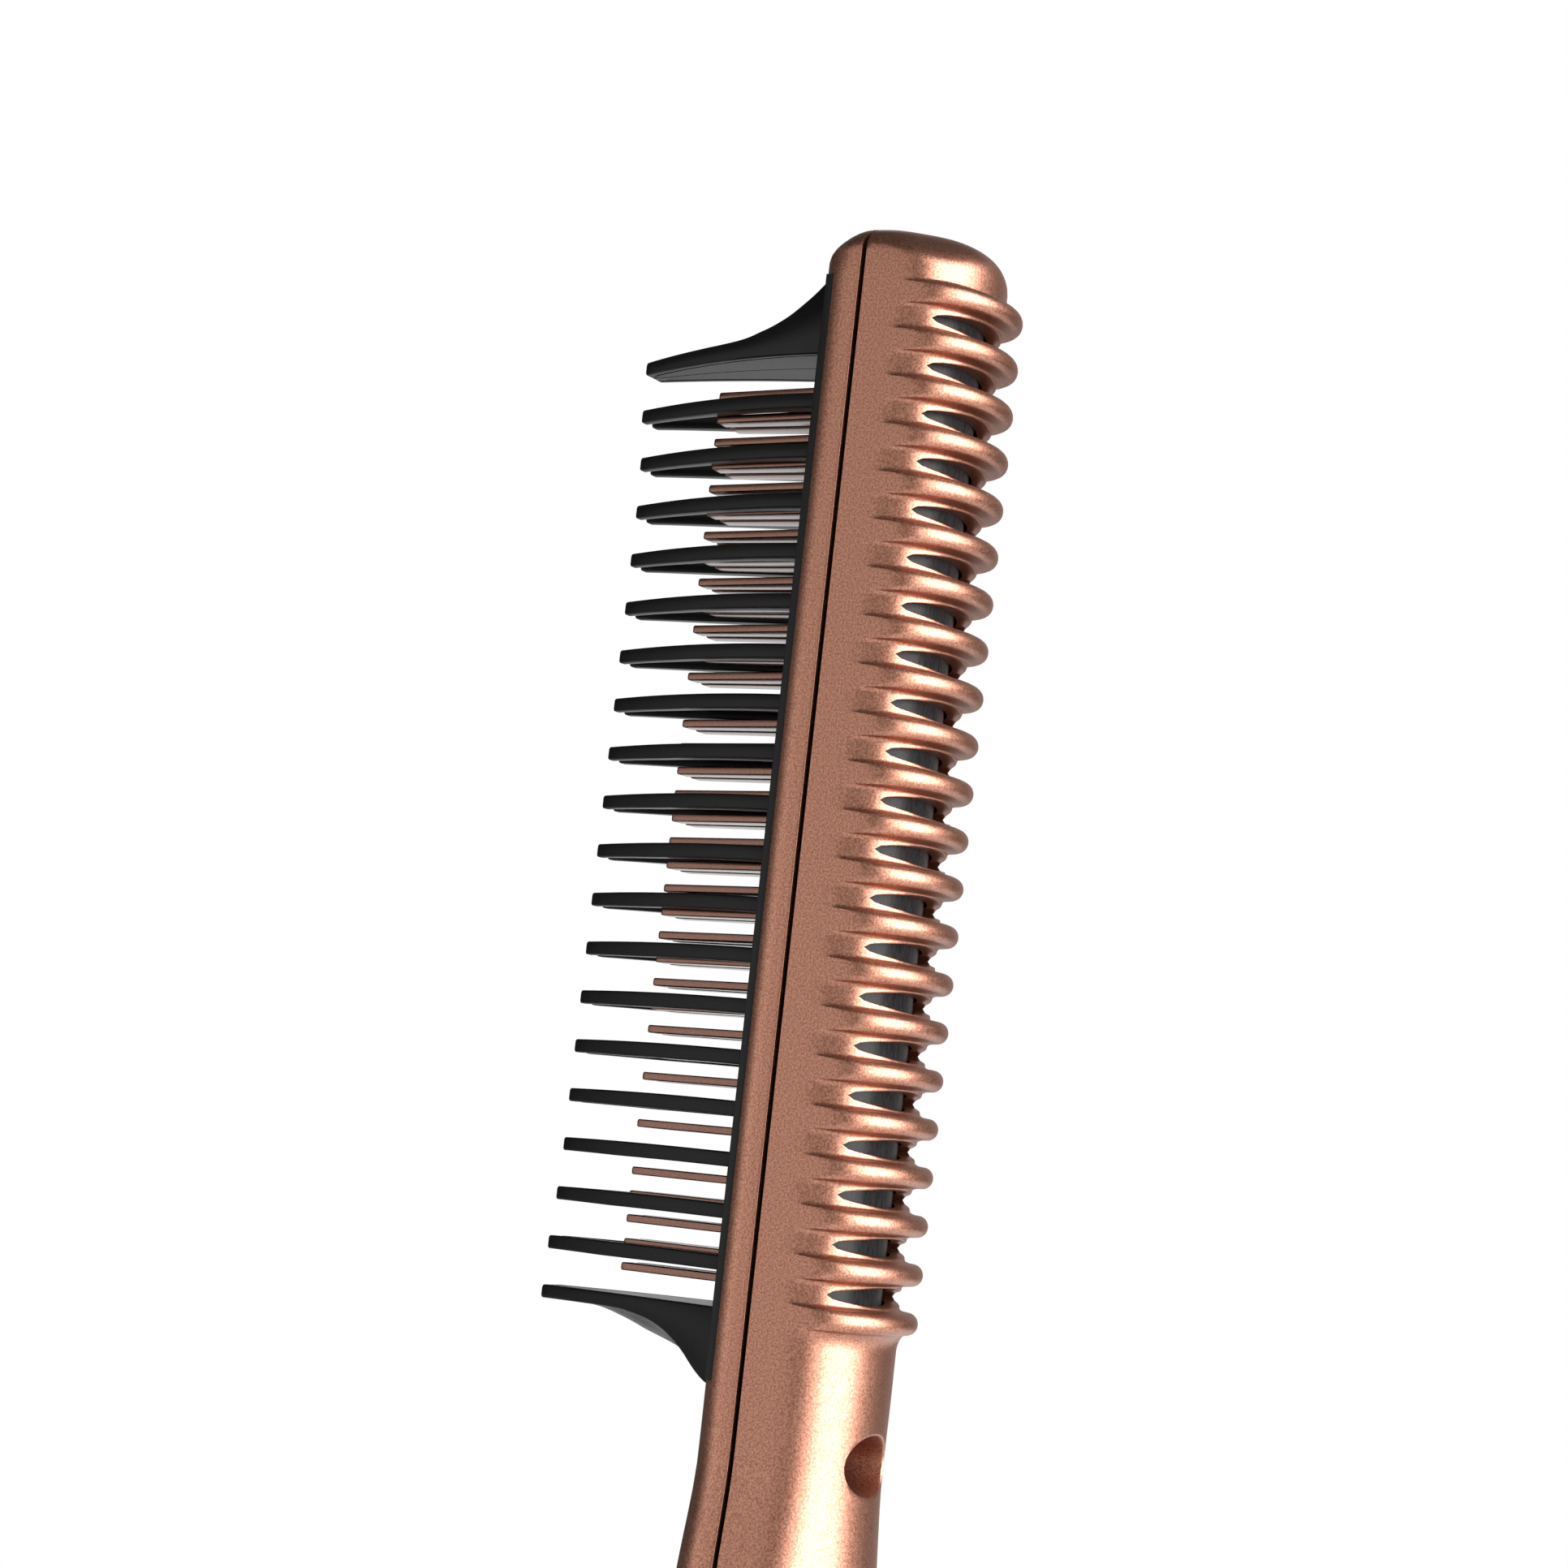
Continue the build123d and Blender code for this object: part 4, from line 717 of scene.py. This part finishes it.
def tip_steps(far, radius):
    """Distances along a rounded tip, and what the rounding takes off there."""
    angles = [QUARTER_TURN * i / 6 for i in range(7)]
    return [(far - radius + radius * math.sin(a), radius * (1 - math.cos(a))) for a in angles]


def rounded_loop(low_x, high_x, low_z, high_z, radius):
    """A rounded rectangle of points in x and z, closed."""
    radius = max(min(radius, (high_x - low_x) / 2 - 0.01, (high_z - low_z) / 2 - 0.01), 0.005)
    loop = []
    for corner_x, corner_z, start in (
        (high_x - radius, high_z - radius, 0), (low_x + radius, high_z - radius, 90),
        (low_x + radius, low_z + radius, 180), (high_x - radius, low_z + radius, 270),
    ):
        for i in range(4):
            angle = math.radians(start + 30 * i)
            loop.append((corner_x + radius * math.cos(angle), corner_z + radius * math.sin(angle)))
    return loop + [loop[0]]


def prong(height, edges, far, side, half, tip, corner, deeper=0.0):
    """Rings of a blade or fin on one side of the comb, from its sunk root to its rounded tip.

    Its height and its outer and inner edge are functions of the share of its length. It is half
    thick above and below its height, and deeper below towards its root.
    """
    along = [far * i / PRONG_STEPS for i in range(PRONG_STEPS)]
    steps = [(-ROOT_SUNK, 0.0)] + [(reach, 0.0) for reach in along if reach < far - tip - 0.3]
    rings = []
    for reach, taken in steps + tip_steps(far, tip):
        t = max(reach, 0.0) / far
        outer, inner = edges(t)
        z = height(t)
        under = half + deeper * min(3 * (1 - t), 1.0)
        loop = rounded_loop(
            inner + taken, outer - taken, z - under + taken, z + half - taken, corner,
        )
        rings.append([(side * x, FACE - reach, z) for x, z in loop])
    last = rings[-1]
    count = len(last) - 1
    x = sum(p[0] for p in last[:-1]) / count
    z = sum(p[2] for p in last[:-1]) / count
    rings.append([(x, last[0][1], z)] * len(last))
    return facing(rings, side > 0)


guard_parts = []
for row in range(1, ROWS - 1):
    far = REACH + EXTRA_REACH.get(row, USUAL_EXTRA)
    middle = ROW_TOP - row * ROW_PITCH - MIDDLE_DROP * math.sin(math.pi * row / (ROWS - 1))
    for side in (1, -1):
        rings = prong(
            blade_height(middle, far), blade_edges, far, side,
            ROW_HALF, TIP_ROUND, BLADE_CORNER, ROOT_DEEPER,
        )
        guard_parts.append((rings, None))

# The webs' rise over their end rows, by the distance from the guard's face
TOP_WEB = (
    (29.0, 0.0), (15.0, 0.75), (10.0, 2.05), (7.0, 3.5),
    (5.0, 4.95), (2.5, 7.25), (0.5, 9.4), (-1.0, 9.55),
)
BOTTOM_WEB = (
    (28.8, 0.0), (17.0, 0.10), (13.5, 0.42), (10.6, 1.00), (8.4, 1.82), (6.6, 2.85),
    (4.8, 4.25), (3.4, 5.6), (2.0, 6.75), (0.7, 7.45), (-1.0, 7.6),
)
BOTTOM_SWELL = 2.5
SWELL_SHARE = 0.72
WEB_STEPS = 44
RIM = 1.1
RIM_GROOVE = 0.4
ROUND = 0.26
ROUND_MIDDLE = 0.08


def smooth_curve(points, steps=6):
    """More points on a curve through the given ones."""
    curve = []
    for k in range(len(points) - 1):
        before = points[max(k - 1, 0)]
        a, b = points[k], points[k + 1]
        after = points[min(k + 2, len(points) - 1)]
        for i in range(steps):
            t = i / steps
            curve.append(tuple(
                0.5 * (
                    2 * q + (r - p) * t + (2 * p - 5 * q + 4 * r - s) * t**2
                    + (3 * q - p - 3 * r + s) * t**3
                )
                for p, q, r, s in zip(before, a, b, after)
            ))
    return curve + [points[-1]]


def rise_at(curve, reach):
    """A curve's rise at a distance from the guard's face."""
    if reach >= curve[0][0]:
        return curve[0][1]
    for (far, low), (near, high) in zip(curve, curve[1:]):
        if reach >= near:
            t = (far - reach) / (far - near)
            return low + (high - low) * t
    return curve[-1][1]


def end_row(middle, outward, far, web, swell):
    """Rings of an end row, closed from edge to edge, with its web on the outward side.

    The side towards the comb has a narrow groove in the middle and one along each edge.
    """
    curve = smooth_curve(web)
    rings = []
    steps = [(-1.0, 0.0)] + [(far * i / WEB_STEPS, 0.0) for i in range(WEB_STEPS - 1)]
    for reach, taken in steps + tip_steps(far, TIP_ROUND):
        y = FACE - reach
        edge = blade_edge(max(reach, 0.0) / far) - taken
        rise = rise_at(curve, reach)
        inner = ROW_HALF - taken
        outer = ROW_HALF - taken + rise
        lift = raised(y, middle)
        rim = min(RIM, 0.42 * edge)
        sunk = min(RIM_GROOVE, 0.5 * inner) * smooth((far - reach - 0.8) / 2.0)
        along_bulge = min(max(reach / (SWELL_SHARE * far), 0.0), 1.0)
        bulge = swell * math.sin(math.pi * along_bulge) ** 1.2
        section = [
            (0.0, -inner + 0.5 * sunk), (0.08, -inner + 0.5 * sunk), (0.12, -inner + 0.02),
            (edge - rim - 0.34, -inner + 0.02), (edge - rim - 0.30, -inner + sunk),
            (edge - rim - 0.06, -inner + sunk), (edge - rim, -inner + 0.04),
            (edge - rim + 0.08, -inner),
            (edge - ROUND, -inner), (edge - ROUND_MIDDLE, -inner + ROUND_MIDDLE),
            (edge, -inner + ROUND),
            (edge, outer - ROUND), (edge - ROUND_MIDDLE, outer - ROUND_MIDDLE),
            (edge - ROUND, outer),
        ]
        for i in range(1, 7):
            x = (edge - ROUND) * (1 - i / 6)
            section.append((x, outer + bulge * (1 - (x / (edge - 0.2)) ** 2)))
        ring = []
        for x, z in section + [(-x, z) for x, z in reversed(section[:-1])]:
            hold = 1 - rise / curve[-1][1] if z > inner else 1.0
            ring.append((x, y, middle + outward * z + lift * hold))
        rings.append(ring)
    last = rings[-1]
    rings.append([(0.0, last[0][1], middle)] * len(last))
    return facing(rings, outward < 0)


guard_parts.append((end_row(ROW_TOP, 1, REACH + EXTRA_REACH[0], TOP_WEB, 0.0), None))
guard_parts.append(
    (end_row(ROW_BOTTOM, -1, REACH + EXTRA_REACH[ROWS - 1], BOTTOM_WEB, BOTTOM_SWELL), None)
)

# The guard's frame: a rail at each side of the window, and a bridge above and below it
RAIL_OUTER = 10.78
RAIL_INNER = 5.4
RAIL_BACK = 9.8
SEAT = LEDGE + 0.02
WINDOW_GAP = 2.0
low, high = GUARD_BOTTOM + 0.1, GUARD_TOP - 0.1
rail = [
    (RAIL_OUTER, SEAT), (RAIL_OUTER, FACE + 0.14), (10.74, FACE + 0.04), (10.64, FACE),
    (8.0, FACE), (5.54, FACE), (5.44, FACE + 0.04), (RAIL_INNER, FACE + 0.14),
    (RAIL_INNER, GUARD_BACK), (RAIL_BACK, GUARD_BACK), (RAIL_BACK, SEAT), (RAIL_OUTER, SEAT),
]
for side in (1, -1):
    pair = [[(side * x, y, z) for x, y in rail] for z in (low, high)]
    guard_parts.append((facing(pair, side > 0), None))
for end, window_edge in ((high, ROW_TOP - WINDOW_GAP), (low, ROW_BOTTOM + WINDOW_GAP)):
    across = [(end, SEAT), (end, FACE), (window_edge, FACE), (window_edge, GUARD_BACK)]
    pair = [[(x, y, z) for z, y in across] for x in (5.45, -5.45)]
    guard_parts.append((facing(pair, end == high), None))
    pair = [
        [(x, y, end) for x in (RAIL_OUTER, RAIL_INNER, -RAIL_INNER, -RAIL_OUTER)]
        for y in (SEAT, FACE + 0.03)
    ]
    guard_parts.append((facing(pair, end == low), None))
build("comb_guard_skin", guard_parts, BLACK, "comb_guard")

# Heated fins behind the guard's window, on the face of their plate
FINS = 38
FIN_TOP = 258.534
FIN_PITCH = 3.034
FIN_REACH = 17.2
FIN_HALF = 0.50
FIN_TIP = 0.34
FIN_CORNER = 0.15
FIN_ROOT_EDGE = 4.9
FIN_LEAN = 1.65
FIN_INNER = 0.6
FIN_RAISED = 0.15
TOP_FIN_MORE = 0.45
FIN_DROOP = 0.4
PLATE_FACE = -6.8
PLATE_BACK = PLATE_FACE + 2.0
PLATE_HALF = 8.2


def fin_edges(t):
    return FIN_ROOT_EDGE - FIN_LEAN * t, FIN_INNER


def fin_height(number):
    """A fin's height as a function of the share of its length: it falls towards its tip."""
    share = number / (FINS - 1)
    root_up = FIN_RAISED + TOP_FIN_MORE * (1 - share) ** 3
    tip_down = FIN_DROOP * math.sin(math.pi * share) ** 2
    return lambda t: FIN_TOP - number * FIN_PITCH + root_up * (1 - t) - tip_down * t


fin_parts = []
for number in range(FINS):
    for side in (1, -1):
        rings = prong(
            fin_height(number), fin_edges, FIN_REACH, side, FIN_HALF, FIN_TIP, FIN_CORNER,
        )
        root = rings[0] if side > 0 else rings[-1]
        sunk = [(x, PLATE_FACE + ROOT_SUNK, z) for x, y, z in root]
        fin_parts.append(([sunk] + rings if side > 0 else rings + [sunk], None))
plate_low = FIN_TOP - (FINS - 1) * FIN_PITCH - 3.0
plate_high = FIN_TOP + 1.2
plate = [
    (PLATE_HALF, PLATE_BACK), (PLATE_HALF, PLATE_FACE), (0.0, PLATE_FACE),
    (-PLATE_HALF, PLATE_FACE), (-PLATE_HALF, PLATE_BACK), (0.0, PLATE_BACK),
    (PLATE_HALF, PLATE_BACK),
]
fin_parts.append(([[(x, y, z) for x, y in plate] for z in (plate_low, plate_high)], None))
for level in (plate_low, plate_high):
    pair = [[(x, y, level) for x in (PLATE_HALF, -PLATE_HALF)] for y in (PLATE_FACE, PLATE_BACK)]
    fin_parts.append((facing(pair, level == plate_high), None))
build("heater_comb_skin", fin_parts, FIN, "heater_comb")


# Studio: a round sheet of pale paper, soft lamps, and a world that is white where it is seen
def stage_piece(name, mesh_build, height, material):
    """A piece of the studio from a finished bmesh, at a height."""
    mesh = bpy.data.meshes.new(name)
    mesh_build.to_mesh(mesh)
    mesh_build.free()
    mesh.materials.append(material)
    piece = bpy.data.objects.new(name, mesh)
    piece.location = (0, 0, height)
    scene.collection.objects.link(piece)


def disc(name, radius, segments, height, material):
    sheet = bmesh.new()
    bmesh.ops.create_circle(sheet, cap_ends=True, segments=segments, radius=radius)
    stage_piece(name, sheet, height, material)


def mix_shaders(tree, factor, first, second, output):
    """The second shader where the factor is 1, the first where it is 0, as a tree's surface."""
    mix = tree.nodes.new("ShaderNodeMixShader")
    tree.links.new(factor, mix.inputs["Fac"])
    tree.links.new(first, mix.inputs[1])
    tree.links.new(second, mix.inputs[2])
    tree.links.new(mix.outputs["Shader"], tree.nodes[output].inputs["Surface"])


def larger(tree, first, second):
    node = tree.nodes.new("ShaderNodeMath")
    node.operation = "MAXIMUM"
    tree.links.new(first, node.inputs[0])
    tree.links.new(second, node.inputs[1])
    return node.outputs["Value"]


PAPER = cloudy("floor_paper", 0.8, ((0.86, 0.86, 0.86), (0.88, 0.88, 0.88)))[0]
disc("floor", radius=0.6, segments=96, height=-0.0003, material=PAPER)

world = bpy.data.worlds.new("studio")
scene.world = world
world.use_nodes = True
world_tree = world.node_tree
fill = world_tree.nodes["Background"]
fill.inputs["Color"].default_value = (0.30, 0.30, 0.31, 1)
fill.inputs["Strength"].default_value = 1.0
white = world_tree.nodes.new("ShaderNodeBackground")
white.inputs["Color"].default_value = (1, 1, 1, 1)
ray = world_tree.nodes.new("ShaderNodeLightPath").outputs
seen = larger(world_tree, ray["Is Camera Ray"], ray["Is Glossy Ray"])
seen = larger(world_tree, seen, ray["Is Transmission Ray"])
mix_shaders(
    world_tree, seen, fill.outputs["Background"], white.outputs["Background"], "World Output",
)

LAMP_AIM = Vector((0, 0, 0.19))


def softbox(name, azimuth, distance, height, width, length, power):
    """A rectangular lamp that stands round the brush at an azimuth from +X towards +Y."""
    light = bpy.data.lights.new(name, "AREA")
    light.shape = "RECTANGLE"
    light.size = width
    light.size_y = length
    light.energy = power
    lamp = bpy.data.objects.new(name, light)
    angle = math.radians(azimuth)
    lamp.location = (distance * math.cos(angle), distance * math.sin(angle), height)
    lamp.rotation_euler = (LAMP_AIM - lamp.location).to_track_quat("-Z", "Y").to_euler()
    scene.collection.objects.link(lamp)


softbox("key_box", azimuth=84, distance=0.9, height=0.42, width=1.15, length=1.1, power=35)
softbox("left_box", azimuth=-48, distance=0.9, height=0.13, width=0.40, length=0.62, power=0.8)
softbox("edge_box", azimuth=42, distance=0.92, height=0.42, width=0.28, length=1.1, power=2.6)


# Studio flags: dark and grey cloths that shade what the lacquer mirrors, and aren't seen
def flag_cloth(name, level):
    """Matt cloth that only mirrored rays meet."""
    dark = (level * 0.90, level * 0.86, level * 0.83)
    light = (level * 1.10, level * 1.05, level * 1.01)
    material, tree, shader = cloudy(name, 0.9, (dark, light))
    clear = tree.nodes.new("ShaderNodeBsdfTransparent")
    mirrored = tree.nodes.new("ShaderNodeLightPath").outputs["Is Glossy Ray"]
    mix_shaders(tree, mirrored, clear.outputs["BSDF"], shader.outputs["BSDF"], "Material Output")
    return material


DARK_CLOTH = flag_cloth("flag_dark", 0.09)
GREY_CLOTH = flag_cloth("flag_grey", 0.31)
FLAG_DISTANCE = 1.4
FLAG_LOW, FLAG_SPLIT, FLAG_HIGH = -0.4, 0.42, 1.2


def flag(name, start, end, low, high, material):
    """A curved cloth round the brush between two azimuths and two heights."""
    cloth = bmesh.new()
    previous = None
    for i in range(13):
        angle = math.radians(start + (end - start) * i / 12)
        x, y = FLAG_DISTANCE * math.cos(angle), FLAG_DISTANCE * math.sin(angle)
        pair = [cloth.verts.new((x, y, z)) for z in (low, high)]
        if previous:
            cloth.faces.new((previous[0], pair[0], pair[1], previous[1]))
        previous = pair
    stage_piece(name, cloth, 0, material)


flag("flag_camera", -2, 32, FLAG_LOW, FLAG_HIGH, GREY_CLOTH)
flag("flag_side", -70, -46, FLAG_LOW, FLAG_SPLIT, GREY_CLOTH)
flag("flag_front", -72, -38, FLAG_SPLIT, FLAG_HIGH, DARK_CLOTH)
flag("flag_right", 116, 170, FLAG_LOW, FLAG_HIGH, DARK_CLOTH)
flag("flag_edge", 170, 206, FLAG_LOW, FLAG_HIGH, GREY_CLOTH)
flag("flag_left", -150, -70, FLAG_LOW, FLAG_HIGH, DARK_CLOTH)
disc("flag_ceiling", radius=1.38, segments=48, height=1.25, material=DARK_CLOTH)

# Camera at the photograph's place: it looks in towards the brush and up, and is rolled
CAMERA_PLACE = (0.4178, 0.1920, 0.1637)
CAMERA_TURN = math.radians(26.07)
CAMERA_PITCH = math.radians(5.57)
CAMERA_ROLL = math.radians(6.29)
camera_data = bpy.data.cameras.new("camera")
camera_data.sensor_width = 36.0
camera_data.lens = 84.33
camera_data.clip_start = 0.01
camera_data.clip_end = 50
camera = bpy.data.objects.new("camera", camera_data)
scene.collection.objects.link(camera)
ahead = Vector((
    -math.cos(CAMERA_TURN) * math.cos(CAMERA_PITCH),
    -math.sin(CAMERA_TURN) * math.cos(CAMERA_PITCH),
    math.sin(CAMERA_PITCH),
))
level_right = Vector((-math.sin(CAMERA_TURN), math.cos(CAMERA_TURN), 0))
level_up = level_right.cross(ahead)
right = level_right * math.cos(CAMERA_ROLL) + level_up * math.sin(CAMERA_ROLL)
up = level_up * math.cos(CAMERA_ROLL) - level_right * math.sin(CAMERA_ROLL)
camera.matrix_world = Matrix((
    (right.x, up.x, -ahead.x, CAMERA_PLACE[0]),
    (right.y, up.y, -ahead.y, CAMERA_PLACE[1]),
    (right.z, up.z, -ahead.z, CAMERA_PLACE[2]),
    (0, 0, 0, 1),
))
scene.camera = camera

scene.view_settings.view_transform = "Standard"
